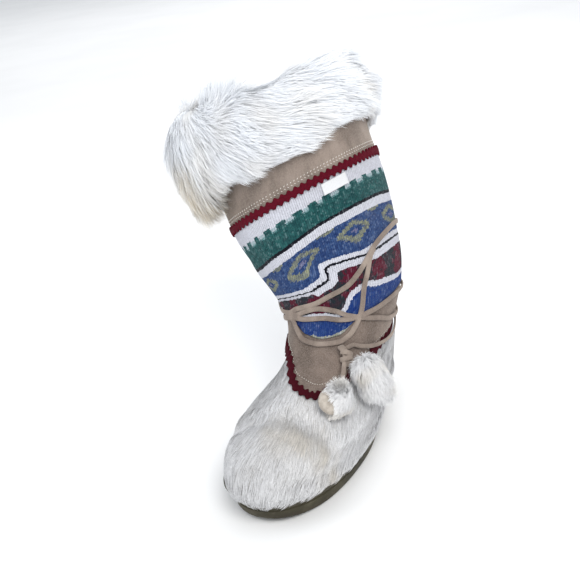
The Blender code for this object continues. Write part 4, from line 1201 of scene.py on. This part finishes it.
# The pelt stands out over the sole's rim, less at the inner toe and more at the tip.
tucked, fringed = hill((grid_turn - 0.65) / 0.11, 4), hill((grid_turn - 0.48) / 0.09, 4)
near_rim = smooth((rim_line(grid_turn) + RIM_FADE - grid_height) / RIM_FADE)
over_rim = (3.9 - 2.8 * tucked + 1.3 * fringed) * MM * near_rim
held = np.maximum(grid_height, FEATHER_LINE)
foot_form = skin(held, grid_turn, 0.05 * MM + vamp_hollow(held, grid_turn) + over_rim)
foot_form[..., 2] -= np.maximum(FEATHER_LINE - grid_height, 0)
foot = Pelt(foot_form, outward=-1)


def on_foot(v):
    return FOOT_LOW + (FOOT_TOP - FOOT_LOW) * v


def combed(point):
    """The comb's direction: to the toe and down, fanning out, and down round the heel."""
    fan = point[:, 0] / (55 * MM)
    heel = smooth((point[:, 1] + 30 * MM) / (70 * MM))
    down = 0.35 + 0.85 * heel + 0.75 * smooth((48 * MM - point[:, 2]) / (26 * MM))
    return unit(np.stack([fan * 0.42, -1.0 + heel * 0.75, -down], -1))


def grow_foot_hair(name, count, seed):
    chance = np.random.default_rng(seed)

    def keep(u, v):
        height = on_foot(v)
        return (height < lobe_line(u) - 0.5 * MM) & (height > rim_line(u) + 0.5 * MM)
    u, v = foot.sow(count, chance, keep)
    root, _, _, normal = foot.read(u, v)
    way = unit(combed(root) + chance.normal(size=(len(u), 3)) * 0.05 + 0.07 * drift(root, 44 * MM, (5, 6, 7)))
    tips = 0.8 - 7 * chance.random(JAGS) ** 3
    hem = rim_line(u) + (tips[(u * JAGS).astype(int) % JAGS] + chance.uniform(-0.6, 0.6, len(u))) * MM
    shorter = 1 - 0.35 * smooth((root[:, 2] - 55 * MM) / (30 * MM))
    length = chance.uniform(*HAIR_LONG, len(u)) * MM * shorter
    lift = chance.uniform(0.1, 0.7, len(u)) * MM
    points = [root]
    for k in range(HAIR_STEPS):
        u, v = foot.walk(u, v, way, length / HAIR_STEPS)
        spot, _, _, out = foot.read(u, v)
        points.append(spot + out * (lift * (k + 1) / HAIR_STEPS)[:, None])
    spine = gather(np.stack(points, 1), 6, 0.09, chance)
    # Over the rim the hairs are cut back to a jagged hem.
    root_z, tip_z = spine[:, 0, 2], spine[:, -1, 2]
    left = np.clip((root_z - hem) / np.maximum(root_z - tip_z, 1e-6), 0.2, 1)
    left = np.where(tip_z < hem, left, 1)[:, None, None]
    spine = spine[:, :1] * (1 - left) + spine * left
    toe = smooth((-190 * MM - root[:, 1]) / (32 * MM))
    dark = chance.random(len(root)) < 0.05 + 0.11 * toe
    level = chance.normal(0.705, 0.05, len(root)) * np.where(dark, 0.62, 1.0) * (1 - 0.05 * toe)
    # A tan patch lies below the vamp's hollow. Painted shade darkens the hollow and a painted
    # highlight lightens the fold above it.
    middle = spine[:, 1]
    across = (middle[:, 1] + 169 * MM + 0.12 * middle[:, 0]) / (5 * MM)
    on_top = smooth((middle[:, 2] - 38 * MM) / (14 * MM)) * hill((middle[:, 0] - 8 * MM) / (32 * MM), 4)
    over, before = (middle[:, 0] - 15 * MM) / (35 * MM), (middle[:, 1] + 182 * MM) / (14 * MM)
    tan = 1.05 * np.exp(-over ** 2 - before ** 2) * (1 + 0.5 * ripples(root, 16 * MM, 8))
    tan = np.clip(tan + 0.12 * ripples(root, 45 * MM, 9), 0, 1)
    shade = (0.25 * hill(across) - 0.09 * hill((across - 3.2) / 1.8)) * on_top
    white, warm = np.array([1.0, 1.0, 1.015]), np.array([0.82, 0.765, 0.68])
    tint = (level * (1 - shade))[:, None] * (white + (warm - white) * (0.8 * tan)[:, None])
    # Painted shade at each hair's root and painted light towards its tip.
    painted_root_shade = np.array([0.76, 0.94, 1.04, 1.08])[None, :, None]
    turned = unit(normal + chance.normal(size=normal.shape) * 0.16)
    return make_hairs(name, spine, turned, chance.uniform(*HAIR_WIDE, len(root)) * MM,
                      np.clip(tint[:, None] * painted_root_shade, 0, 0.95), HIDE_HAIR, "hide")


grow_foot_hair("foot_hair", 57000, 11)

# %% [markdown]
# ## Fur collar
# The collar is a strip of long-haired pelt folded over the leg's edge. Its body is a thick roll,
# fuller and higher on the inner side. The roll's section is carried round the collar line, closed
# inside the leg and smoothed with Subdivision Surface. It is never seen bare, but it gives the fur
# its depth.

# %% Roll of the collar
# The section goes up the outside, over the crest and down inside to the edge that is sewn to the
# leg, then back the same way a little further in. Each row is millimetres above the collar's seam,
# millimetres out, and what is taken off each of the two.
FUR_SECTION = (
    (-24, 2.3, 0, 0), (-28, 7, 0, 0), (-25, 12.5, 0, 0), (-12, 16.5, 0, 0), (3, 16.5, 0, 0),
    (17, 11, 0, 0), (23, 2.5, 0, 0), (21, -7, 0, 0), (10, -12.5, 0, 0), (-5, -11.5, 0, 0),
    (-13, -6, 0, 0), (-12, -2.6, 0, 0), (0, -2.6, 0, 0), (8, -10, 0, 0), (18, -6, 2, 0),
    (15, 9, 2, 1), (0, 13.5, 0, 1), (-23, 10.5, -2, 1),
)
SEWN_EDGE = ((-13, -6), (-12, -2.6), (0, -2.6))
# The roll's shape round the boot: turn, extra height of the crest, extra drop of the lower edge and
# fullness of the outer side.
FUR_SHAPE = (
    (0.00, 5, 0, 0.95), (0.12, 5, 0, 0.90), (0.25, 12, -4, 0.85), (0.35, 14, -5, 0.95),
    (0.45, 9, 5, 1.00), (0.53, 17, 4, 1.10), (0.60, 18, 13, 1.45), (0.67, 18, 25, 1.70),
    (0.75, 25, 20, 1.45), (0.84, 28, 12, 1.15), (0.92, 16, 4, 0.95),
)
FUR_TOP, FUR_BOTTOM = 24, -28


def collar_rows(turn):
    """The section's points at each turn: (turns, rows, 3)."""
    crest, drop, fullness = round_columns(FUR_SHAPE, turn)
    edge = collar_line(turn)
    rows = []
    for above, out, below, within in FUR_SECTION:
        lift = crest * np.clip(above / FUR_TOP, 0, 1)
        spread = 1.0
        if out > 0:
            lift = lift - drop * np.clip(above / FUR_BOTTOM, 0, 1)
            spread = fullness
        if (above, out) in SEWN_EDGE:
            lift = 0
        rows.append(skin(edge + (above + lift - below) * MM, turn, (out * spread - within) * MM))
    return np.stack(rows, 1)


ROLL_COLUMNS = 96
roll = cut_flat("fur_roll", ROLL_COLUMNS, len(FUR_SECTION))


def roll_place(u, v):
    rows = collar_rows(np.arange(ROLL_COLUMNS) / ROLL_COLUMNS)
    i = np.rint(u * ROLL_COLUMNS).astype(int) % ROLL_COLUMNS
    return rows[i, np.rint(v * len(FUR_SECTION)).astype(int) % len(FUR_SECTION)]


lay(roll, roll_place)
sew_back(roll, flip=False)
in_edit(roll, bpy.ops.mesh.normals_make_consistent)
apply_modifier(roll, "SUBSURF", levels=1, render_levels=1)
UNDERFUR, start, plug = new_finish("underfur", sheen_weight=0.4, specular_ior_level=0.1)
spot = start.node("TexCoord", out="Object")
lock = (spot * (1.0, 1.0, 0.5)).noise(150, 4, 0.7)
plug(colour=lock.over(0.3, 0.7).mix(tone(226, 226, 224), tone(246, 246, 246)), roughness=0.95,
     height=lock, strength=0.9, distance=0.003)
finish_piece(roll, UNDERFUR, "fur", "fur_collar")

# %% [markdown]
# ## Long fur
# The collar's hair is 18 to 33 mm long and silky. On the front it is swept round the collar towards
# the outer side and a little down, at the inner front it falls in a fan, and over the crest it
# lies across. Hairs start close to the roll and lift away from it, in locks. They are white with
# cream and beige in the hanging part on the inner side.

# %% Sow and comb the collar's fur
COLLAR_HAIR = hair_finish("collar_hair", 0.55, 0.97, sheen_weight=0.2, specular_ior_level=0.3)
# The fur grows on the first rows of the section, read on a finer grid by a cubic through each four.
FURRED_ROWS, FINE_ROWS, FINE_TURNS, FUR_PROUD = 11, 121, 540, 8 * MM
LOCK_LONG, LOCK_WIDE, FUR_STEPS = (18, 33), (0.30, 0.62), 4
fur_turn = np.arange(FINE_TURNS) / FINE_TURNS
furred = collar_rows(fur_turn)[:, :FURRED_ROWS]
fine = np.linspace(0, FURRED_ROWS - 1, FINE_ROWS)
low = np.clip(fine.astype(int), 0, FURRED_ROWS - 2)
t = (fine - low)[None, :, None]
at = [furred[:, np.clip(low + k, 0, FURRED_ROWS - 1)] for k in (-1, 0, 1, 2)]
fur_form = 0.5 * (2 * at[1] + (at[2] - at[0]) * t + (2 * at[0] - 5 * at[1] + 4 * at[2] - at[3]) * t**2
                  + (3 * at[1] - at[0] - 3 * at[2] + at[3]) * t**3)
collar_pelt = Pelt(fur_form, outward=-1)
BACK_AND_FRONT = np.array([0.0, 0.5])
LEG_AXIS = unit(skin(300 * MM, BACK_AND_FRONT).mean(0) - skin(200 * MM, BACK_AND_FRONT).mean(0))
# The comb round the collar: turn, how far the hair runs round towards the outer side, how far it
# falls, and how far it spreads out from the roll.
COMB = ((0.00, 0.6, 0.45, 0.16), (0.12, 0.8, 0.40, 0.16), (0.22, 0.95, 0.26, 0.14),
        (0.32, 0.95, 0.20, 0.13), (0.42, 0.95, 0.26, 0.13), (0.52, 0.80, 0.50, 0.16),
        (0.60, 0.45, 0.85, 0.30), (0.67, 0.0, 1.0, 0.36), (0.74, -0.5, 0.9, 0.26),
        (0.84, -0.6, 0.6, 0.18), (0.92, 0.1, 0.5, 0.16))


def grow_collar_fur(name, count, seed):
    chance = np.random.default_rng(seed)
    u, v = collar_pelt.sow(count, chance, lambda u, v: v > 0.06)
    root, by_turn, by_row, normal = collar_pelt.read(u, v)
    round_, fall, spread = round_columns(COMB, u)
    # Near the lower edge the hair is shorter and runs round the leg, so the edge stays neat.
    edge = smooth((0.34 - v) / 0.20) * np.clip(np.abs(u - 0.66) / 0.08 - 0.3, 0, 1)
    fall = fall * (1 - 0.85 * edge)
    # On the outside and over the crest the hair falls outwards, inside it falls in.
    outside, inside = smooth((0.72 - v) / 0.28), smooth((v - 0.74) / 0.12)
    climb = unit(by_row)
    way = (-unit(by_turn) * round_[:, None] - climb * (fall * (outside - 0.9 * inside) * 0.8)[:, None]
           - LEG_AXIS * (fall * (0.35 * outside + 0.1))[:, None])
    way = unit(way + 0.20 * drift(root, 34 * MM, (21, 22, 23)) + 0.10 * drift(root, 13 * MM, (24, 25, 26))
               + chance.normal(size=root.shape) * 0.10)
    crest = hill((v - 0.60) / 0.12)
    length = (chance.uniform(*LOCK_LONG, len(u)) * MM * (1 - 0.35 * inside) * (1 - 0.5 * edge)
              * (1 - 0.30 * crest) * (1 + 0.20 * ripples(root, 40 * MM, 31)))
    hanging = hill(off(u, 0.68) / 0.06) * smooth((0.45 - v) / 0.3)
    length = length * (1 - 0.4 * hanging)
    # A tuft stands up on the crest at the front.
    tuft = np.exp(-(off(u, 0.528) / 0.024) ** 2 - ((v - 0.60) / 0.10) ** 2)[:, None]
    out = unit(normal) * (spread * (1 - 0.5 * crest) * chance.uniform(0.4, 1.3, len(u)))[:, None]
    points, place = [root - normal * 1 * MM], root
    for k in range(FUR_STEPS):
        t = (k + 1) / FUR_STEPS
        hang = -0.22 * t * (1 - edge[:, None]) * np.array([0, 0, 1.0])
        curl = tuft * (LEG_AXIS * 4.5 - unit(by_turn) * 0.4)
        turn_to = unit(way * (0.75 + 0.5 * t) + out * (1.5 - 1.5 * t) + hang + curl)
        place = place + turn_to * (length / FUR_STEPS)[:, None]
        points.append(place)
    spine = gather(np.stack(points, 1), 13, 0.18, chance)
    # Tips that would stand far beyond the roll are laid closer.
    for axis in (0, 1):
        for limit, side in ((SOLID_BOX[0][axis], -1), (SOLID_BOX[1][axis], 1)):
            beyond = np.clip((spine[..., axis] - limit) * side, 0, None)
            spine[..., axis] += side * (FUR_PROUD * np.tanh(beyond / FUR_PROUD) - beyond)
    warm = hill(off(u, 0.64) / 0.05) * smooth((0.50 - v) / 0.25) * (1.2 + 0.5 * ripples(root, 9 * MM, 32))
    warm = np.clip(warm + 0.20 * ripples(root, 38 * MM, 33) + 0.02, 0, 1.3)[:, None]
    level = chance.normal(0.975, 0.012, len(root))[:, None]
    tint = level * (np.array([0.965, 0.985, 1.02]) * (1 - warm) + np.array([0.84, 0.78, 0.68]) * warm)
    # Painted shade at each hair's root and painted light towards its tip.
    painted_root_shade = np.interp(np.linspace(0, 1, FUR_STEPS + 1), (0, 0.35, 1), (0.98, 1.0, 1.02))[None, :, None]
    turned = unit(normal + chance.normal(size=normal.shape) * 0.18)
    return make_hairs(name, spine, turned, chance.uniform(*LOCK_WIDE, len(root)) * MM,
                      np.clip(tint[:, None] * painted_root_shade, 0, 1), COLLAR_HAIR, "fur", "fur_collar")


for k in range(3):
    grow_collar_fur(f"collar_fur_{k + 1}", 18500, 40 + k)

# %% [markdown]
# ## Flat suede thong
# The thong is cut from suede 4 to 5 mm wide and 1.5 mm thick, and is wound round the ankle in
# long crossing turns. A thong is a grid rolled into a flat closed section and led along its run:
# one direction of the grid follows the run, the other goes round the section. It leans and curls a
# little from place to place, as cut suede does.

# %% A thong along a run
SQUARE_SIDE, SQUARE_TOP = 0.55, 0.7        # powers that flatten the round section


def spline(points, count, closed):
    """Even readings of a smooth curve through a short list of points (height, turn, out)."""
    points = np.array(points, float)
    if closed:
        wrap = np.array([0, 1.0, 0])
        points = np.concatenate([points[-3:] - wrap, points, points[:3] + wrap])
    # A whole turn counts as 500 mm, so that height and turn are measured together.
    steps = np.diff(points, axis=0) * (1, 500, 0)
    knots = np.concatenate([[0], np.cumsum(np.linalg.norm(steps, axis=1))])
    first, last = (3, len(points) - 3) if closed else (0, len(points) - 1)
    at = np.linspace(knots[first], knots[last], count, endpoint=not closed)
    return np.stack([through(knots, column, at) for column in points.T], -1)


def thong(name, middle, normal, closed, width, thick=1.45 * MM, curl=0.25, lean=None):
    """A flat strip led along `middle`, lying square to `normal`; closed joins its two ends."""
    count, around = len(middle), 12
    strip = cut_flat(name, count if closed else count - 1, around)
    along = (np.roll(middle, -1, 0) - np.roll(middle, 1, 0)) if closed else np.gradient(middle, axis=0)
    side = unit(np.cross(along, normal))
    normal = unit(np.cross(side, along))
    if lean is not None:
        side, normal = (side * np.cos(lean)[:, None] + normal * np.sin(lean)[:, None],
                        normal * np.cos(lean)[:, None] - side * np.sin(lean)[:, None])

    def place(u, v):
        i = np.rint(u * (count if closed else count - 1)).astype(int) % count
        angle = 2 * np.pi * v
        a = np.sign(np.cos(angle)) * np.abs(np.cos(angle)) ** SQUARE_SIDE
        b = np.sign(np.sin(angle)) * np.abs(np.sin(angle)) ** SQUARE_TOP
        up = b * thick / 2 + curl * MM * (0.4 - a * a)
        return middle[i] + side[i] * (a * width / 2)[:, None] + normal[i] * up[:, None]
    lay(strip, place)
    in_edit(strip, lambda: bpy.ops.mesh.remove_doubles(threshold=JOIN_WITHIN))
    if not closed:
        in_edit(strip, lambda: bpy.ops.mesh.fill_holes(sides=0))
    in_edit(strip, bpy.ops.mesh.normals_make_consistent)
    return strip


# %% Wound runs of the thong
# Each point is a height in millimetres and a turn; `out` is how far the thong lies from the last.
LACE_RUNS = {
    "winding_high": dict(closed=True, out=4.0, points=(
        (151, 0.342), (148, 0.354), (144, 0.368), (138, 0.390), (133, 0.414), (130, 0.449),
        (127, 0.482), (126, 0.524), (124, 0.551), (125, 0.60), (131, 0.68), (140, 0.76),
        (150, 0.86), (158, 0.96), (163, 1.06), (165, 1.16), (162, 1.24), (157, 1.30))),
    "winding_loop": dict(closed=False, out=4.1, points=(
        (150, 0.344), (146, 0.356), (138, 0.367), (128, 0.379), (116, 0.384), (109, 0.392),
        (104, 0.404), (101.5, 0.425), (102, 0.464), (105, 0.499), (112, 0.528), (120, 0.548),
        (124.5, 0.575))),
    "winding_low": dict(closed=True, out=3.9, points=(
        (122, 0.553), (119, 0.60), (116, 0.70), (113, 0.82), (110, 0.95), (107, 1.05),
        (104, 1.14), (102, 1.22), (103, 1.28), (108, 1.335), (112, 1.381), (116, 1.417),
        (120, 1.440), (124, 1.482), (122, 1.526))),
    "winding_back": dict(closed=False, out=4.2, points=(
        (158, -0.04), (151, 0.02), (139, 0.09), (127, 0.16), (119.5, 0.233), (116.5, 0.306),
        (114, 0.357), (113, 0.403), (114, 0.429), (117, 0.464), (118, 0.497), (120, 0.542),
        (119, 0.60))),
    "winding_side": dict(
        closed=False, width=3.9, out=(4.3, 5.2, 5.7, 5.7, 5.7, 5.7, 5.6, 5.2, 5.2, 5.2),
        points=((112.5, -0.07), (105.5, 0.02), (98, 0.10), (93, 0.18), (90, 0.25), (92, 0.31),
                (94, 0.345), (96.5, 0.376), (98, 0.392), (97, 0.408))),
}
for name, run in LACE_RUNS.items():
    outs = np.broadcast_to(run["out"], len(run["points"]))
    count = 150 if run["closed"] else 80
    path = spline([(*point, own) for point, own in zip(run["points"], outs)], count, run["closed"])
    height, turn, out = path[:, 0] * MM, path[:, 1], path[:, 2] * MM
    middle = skin(height, turn, out)
    normal = unit(skin(height, turn, out + 1 * MM) - middle)
    lean = 0.16 * ripples(middle, 60 * MM, 51) + 0.08 * ripples(middle, 23 * MM, 52)
    strip = thong(name, middle, normal, run["closed"], width=run.get("width", 4.6) * MM, lean=lean)
    finish_piece(strip, THONG_SUEDE, "lace", "lace_wraps")

# %% [markdown]
# ## Knot and free ends
# The thong is tied at the outer front. The knot is two turns of thong pulled round a folded core,
# and from it two short ends run into the pompoms. They are free cords: short enough to hold their
# own line, hanging from the knot.

# %% Knot
KNOT_HEIGHT, KNOT_ROUND = 93 * MM, 0.404
KNOT_AT = skin(KNOT_HEIGHT, KNOT_ROUND, 8 * MM)
knot_out = unit(skin(KNOT_HEIGHT, KNOT_ROUND, 9 * MM) - KNOT_AT)
upwards = np.array([0.10, 0.35, 1.0])
knot_up = unit(upwards - knot_out * (upwards @ knot_out))
knot_side = np.cross(knot_up, knot_out)


def knot_turn(name, above, tilt, radius, stretch):
    """One turn of thong round the knot, `above` millimetres from its middle."""
    angle = np.linspace(0, 2 * np.pi, 40, endpoint=False)
    axis = unit(knot_up + knot_side * tilt)
    first = unit(knot_side - axis * (knot_side @ axis))
    second = np.cross(axis, first)
    middle = (KNOT_AT + axis * above * MM + first * (np.cos(angle) * radius * stretch)[:, None] * MM
              + second * (np.sin(angle) * radius)[:, None] * MM)
    normal = unit(middle - (KNOT_AT + axis * above * MM))
    strip = thong(name, middle, normal, True, width=4.6 * MM, curl=0.1)
    return finish_piece(strip, THONG_SUEDE, "lace", "lace_knot")


knot_pieces = [knot_turn("knot_turn_1", 2.6, 0.30, 4.4, 1.1),
               knot_turn("knot_turn_2", -2.2, -0.25, 4.6, 1.05)]
# The folded core goes down through the turns: millimetres up, to the side and out from the middle.
CORE = ((9, -3.5, -3), (6.5, -2.5, 0), (3, -1, 1.5), (-1, 0.5, 1.5), (-5, 1.5, 1), (-8, 2, -2))
CORE_POINTS = 26
fold = np.array([KNOT_AT + knot_up * h * MM + knot_side * s * MM + knot_out * o * MM for h, s, o in CORE])
at = np.linspace(0, len(CORE) - 1, CORE_POINTS)
fold = np.stack([np.interp(at, range(len(CORE)), column) for column in fold.T], -1)
core = thong("knot_core", fold, np.tile(knot_out, (CORE_POINTS, 1)), False, width=6 * MM, thick=3 * MM)
knot_pieces.append(finish_piece(core, THONG_SUEDE, "lace", "lace_knot"))

# %% Pompoms
POMPOM_HAIR = hair_finish("pompom_hair", 0.5, 0.88, sheen_weight=0.2, specular_ior_level=0.3)
PELT_BACK, start, plug = new_finish("bare_pelt", sheen_weight=0.15, specular_ior_level=0.25)
spot = start.node("TexCoord", out="Object")
pore = spot.noise(480, 4, 0.7)
blot = spot.noise(130, 2)
plug(colour=(pore * 0.4 + blot * 0.6).over(0.35, 0.65).mix(tone(160, 150, 138), tone(196, 187, 176)),
     roughness=0.8, height=pore, strength=0.4, distance=0.0006)
PELT_AT, FRONT_AT = skin(70.5 * MM, 0.401, 17.5 * MM), skin(70.5 * MM, 0.387, 18 * MM)
# Half sizes and hair lengths are in millimetres, the lean is in degrees.
POMPOMS = {
    "front": dict(at=FRONT_AT, half=(8.6, 8.0, 10.5), lean=0, comb=(-0.42, -0.42, -0.66),
                  seed=61, hairs=11500, long=(7, 12), bare=PELT_AT - FRONT_AT),
    "side": dict(at=skin(77 * MM, 0.341, 21.6 * MM), half=(9, 9, 18.5), lean=-22,
                 comb=(0.16, -0.10, -0.95), seed=62, hairs=13500, long=(9, 16), crown=0.3),
}
PUFF_STEPS, PUFF_WIDE = 3, (0.28, 0.52)


def make_pompom(name, at, half, lean, comb, seed, hairs, long, crown=0.75, bare=None):
    """`crown` is how much the hair stands up round the cord, `bare` the way to the hairless side."""
    node = f"pompom_{name}"
    bpy.ops.object.select_all(action="DESELECT")
    bpy.ops.mesh.primitive_ico_sphere_add(subdivisions=4, radius=1)
    ball = bpy.context.object
    ball.name = ball.data.name = f"{node}_body"
    chance = np.random.default_rng(seed)
    points = np.array([v.co for v in ball.data.vertices])
    points *= np.array(half) * MM
    points *= (1 + 0.06 * ripples(points, 14 * MM, seed))[:, None]
    leant = np.array(Euler((0, np.radians(lean), 0)).to_matrix()).T
    points = points @ leant
    ball.data.vertices.foreach_set("co", (points + at).ravel())
    finish_piece(ball, UNDERFUR, "fur", node)
    way = unit(chance.normal(size=(hairs, 3)))
    if bare is not None:
        way = way[(way - 0.25 * np.array([0, 0, 1.0])) @ unit(bare) < 0.66]
    root = way * np.array(half) * MM * 0.9 @ leant
    normal = unit(way / np.array(half)) @ leant
    # Round the cord the hair stands up before the comb takes it.
    comb = unit(np.array(comb, float)) * (1 - crown * smooth((way[:, 2:] - 0.55) / 0.35))
    length = chance.uniform(*long, len(way)) * MM * (1 + 0.2 * ripples(root, 15 * MM, seed + 1))
    place, points = root, [root]
    for k in range(PUFF_STEPS):
        t = (k + 1) / PUFF_STEPS
        turn_to = unit(normal * (1.25 - 0.8 * t) + comb * (0.40 + 0.75 * t)
                       + chance.normal(size=root.shape) * 0.07)
        place = place + turn_to * (length / PUFF_STEPS)[:, None]
        points.append(place)
    spine = gather(np.stack(points, 1), 16, 0.36, chance)
    warm = np.clip(0.10 + 0.35 * ripples(root, 20 * MM, seed + 3), 0, 1)[:, None]
    level = chance.normal(0.93, 0.03, len(root))[:, None]
    tint = level * (np.array([1, 1, 1.01]) * (1 - warm) + np.array([0.88, 0.82, 0.72]) * warm)
    # Painted shade at each hair's root and painted light towards its tip.
    painted_root_shade = np.array([0.68, 0.90, 1.01, 1.06])[None, :, None]
    turned = unit(normal + chance.normal(size=normal.shape) * 0.2)
    hair = make_hairs(f"{node}_hair", spine + at, turned, chance.uniform(*PUFF_WIDE, len(root)) * MM,
                      np.clip(tint[:, None] * painted_root_shade, 0, 0.97), POMPOM_HAIR, "fur", node)
    return [ball, hair]


pompoms = {name: make_pompom(name, **made) for name, made in POMPOMS.items()}

# %% The bare side of the front pompom's pelt
BARE_HALF = np.array([11.5, 4.8, 11.5])
bpy.ops.object.select_all(action="DESELECT")
bpy.ops.mesh.primitive_uv_sphere_add(segments=40, ring_count=20, radius=1)
disc = bpy.context.object
disc.name = disc.data.name = "pompom_front_pelt"
points = np.array([v.co for v in disc.data.vertices])
points *= BARE_HALF * MM * (1 + 0.03 * ripples(points, 1.1, 71))[:, None]
tilt = np.array(Euler((np.radians(-28), 0, np.radians(8))).to_matrix())
points = points @ tilt.T + PELT_AT
disc.data.vertices.foreach_set("co", points.ravel())
finish_piece(disc, PELT_BACK, "suede", "pompom_front")
pompoms["front"].append(disc)

# %% Free ends as cords
# Each route is in millimetres, from the knot to the pompom.
ROUTE_POINTS = 30
LACE_ENDS = {
    "front": ((36.7, -114.7, 101.1), (38.0, -122.5, 97.0), (39.6, -131.0, 92.9),
              (41.2, -139.5, 89.0), (42.8, -148.5, 85.2)),
    "side": ((42.0, -110.8, 100.7), (47.2, -113.7, 97.0), (52.4, -116.5, 92.3),
             (57.5, -119.1, 86.8), (62.6, -121.6, 81.0)),
}
for name, route in LACE_ENDS.items():
    route = np.array(route) * MM
    knots = np.concatenate([[0], np.cumsum(np.linalg.norm(np.diff(route, axis=0), axis=1))])
    at = np.linspace(0, knots[-1], ROUTE_POINTS)
    middle = np.stack([through(knots, column, at) for column in route.T], -1)
    normal = np.tile(unit(np.array([0.25, -0.8, 0.75])), (ROUTE_POINTS, 1))
    strip = thong(f"thong_end_{name}", middle, normal, False, width=4 * MM, thick=1.5 * MM, curl=0.2,
                  lean=np.linspace(-0.1, 0.25, ROUTE_POINTS))
    finish_piece(strip, THONG_SUEDE, "lace", f"lace_end_{name}")
    pieces = pompoms[name] + (knot_pieces if name == "front" else [])
    print(name, "end", round(knots[-1] * 1000, 1), "mm")

# %% [markdown]
# ## Woven label
# A small white woven label hangs from the upper braid. It is left blank. It is a thin grid with a
# selvedge at both ends, bent to the leg with its free edge a little proud.

# %% Label
LABEL_TURNS, LABEL_HANGS = (0.357, 0.409), (5.0, 15.0)   # the second in mm below the upper braid
LABEL_OUT, LABEL_LIFT, LABEL_BOW, LABEL_THICK = 3.05 * MM, 1.6 * MM, 0.5 * MM, 0.45 * MM

LABEL, start, plug = new_finish("woven_label", sheen_weight=0.15, specular_ior_level=0.3)
cut = start.node("UVMap", out="UV", uv_map="cut")
warp, weft = (cut.part("X") * 520).sine(), (cut.part("Y") * 260).sine()
selvedge = abs(cut.part("X") * 2 - 1).over(0.86, 0.9)
plug(colour=(warp * weft * 0.5 + 0.5).mix(tone(224, 226, 230), tone(250, 250, 252)), roughness=0.7,
     height=warp * 0.5 + weft * 0.5 - selvedge * 0.8, strength=0.5, distance=0.0003)
label = cut_flat("label_blank", 28, 12)


def label_place(u, v):
    turn = LABEL_TURNS[0] + (LABEL_TURNS[1] - LABEL_TURNS[0]) * u
    hang = LABEL_HANGS[0] + (LABEL_HANGS[1] - LABEL_HANGS[0]) * (1 - v)
    height = braid_line(turn) - hang * MM
    lift = LABEL_OUT + LABEL_LIFT * smooth((1 - v) * 1.4 - 0.3) + LABEL_BOW * (2 * u - 1) ** 2
    return skin(height, turn, lift + slack(height, turn))


lay(label, label_place)
in_edit(label, bpy.ops.mesh.flip_normals)
apply_modifier(label, "SOLIDIFY", thickness=LABEL_THICK, offset=-1)
finish_piece(label, LABEL, "ribbon", "label")

# %% [markdown]
# ## Floor, light and camera
# The boot stands on a pale studio floor that runs on behind it. Three large soft lamps and an even
# pale sky light it, and a fourth lamp whitens the floor behind. The camera looks down at it from the
# front and a little from its outer side.

# %% Floor
FLOOR, start, plug = new_finish("studio_floor", roughness=0.9, specular_ior_level=0.1)
paper = start.node("TexCoord", out="Object").noise(3, 2)
plug(colour=paper.over(0.3, 0.7).mix((0.93, 0.93, 0.93, 1), (0.96, 0.96, 0.96, 1)))
bpy.ops.object.select_all(action="DESELECT")
bpy.ops.mesh.primitive_plane_add(size=12)
floor = bpy.context.object
floor.name = floor.data.name = "floor"
floor.data.materials.append(FLOOR)

# %% Sky and lamps
world = bpy.data.worlds.new("studio")
bpy.context.scene.world = world
world.use_nodes = True
world.node_tree.nodes["Background"].inputs["Color"].default_value = (0.93, 0.96, 1.0, 1)
world.node_tree.nodes["Background"].inputs["Strength"].default_value = 0.68


def add_lamp(name, place, aim, size, watts, colour):
    """A round area lamp that shines from one point towards another."""
    lamp = bpy.data.lights.new(name, "AREA")
    lamp.shape, lamp.size, lamp.energy, lamp.color = "DISK", size, watts, colour
    made = bpy.data.objects.new(name, lamp)
    bpy.context.scene.collection.objects.link(made)
    made.location = place
    made.rotation_euler = (Vector(aim) - Vector(place)).to_track_quat("-Z", "Y").to_euler()


add_lamp("key", (0.9, -1.1, 1.5), (0, -0.05, 0.1), 1.1, 22, (1.0, 0.985, 0.96))
add_lamp("fill", (-1.4, -0.8, 0.9), (0, -0.05, 0.12), 1.4, 8, (0.94, 0.97, 1.0))
add_lamp("back", (0.2, 1.5, 1.4), (0, 0, 0.15), 1.2, 11, (1.0, 1.0, 1.0))
add_lamp("backdrop", (-1.3, 3.2, 2.4), (-1.3, 3.2, 0), 3.0, 34, (1.0, 1.0, 1.0))
bpy.context.scene.view_settings.view_transform = "Standard"
print("lamps:", [light.name for light in bpy.data.lights])

# %% Camera
AZIMUTH, ELEVATION, ROLL = np.radians(24), np.radians(31), np.radians(-8)
LOOKS_AT, DISTANCE, SENSOR = Vector((0, -0.09, 0.04)), 0.8, 36
# The lens and where its axis meets the frame, counted in a frame 580 wide and high.
FRAME, LENS, AXIS_X, AXIS_Y = 580, 850, 323, 403
level = np.cos(ELEVATION)
back = Vector((np.sin(AZIMUTH) * level, -np.cos(AZIMUTH) * level, np.sin(ELEVATION)))
right = Vector((np.cos(AZIMUTH), np.sin(AZIMUTH), 0))
up = back.cross(right)
turned_right = right * np.cos(ROLL) + up * np.sin(ROLL)
turned_up = up * np.cos(ROLL) - right * np.sin(ROLL)
lens = bpy.data.cameras.new("camera")
lens.lens, lens.sensor_width = LENS / FRAME * SENSOR, SENSOR
lens.clip_start = 0.01
lens.shift_x, lens.shift_y = (FRAME / 2 - AXIS_X) / FRAME, (AXIS_Y - FRAME / 2) / FRAME
camera = bpy.data.objects.new("camera", lens)
bpy.context.scene.collection.objects.link(camera)
place = LOOKS_AT + back * DISTANCE
rows = zip(zip(turned_right, turned_up, back), place)
camera.matrix_world = Matrix([(*row, p) for row, p in rows] + [(0, 0, 0, 1)])
bpy.context.scene.camera = camera
print("camera at", [round(c, 3) for c in place])
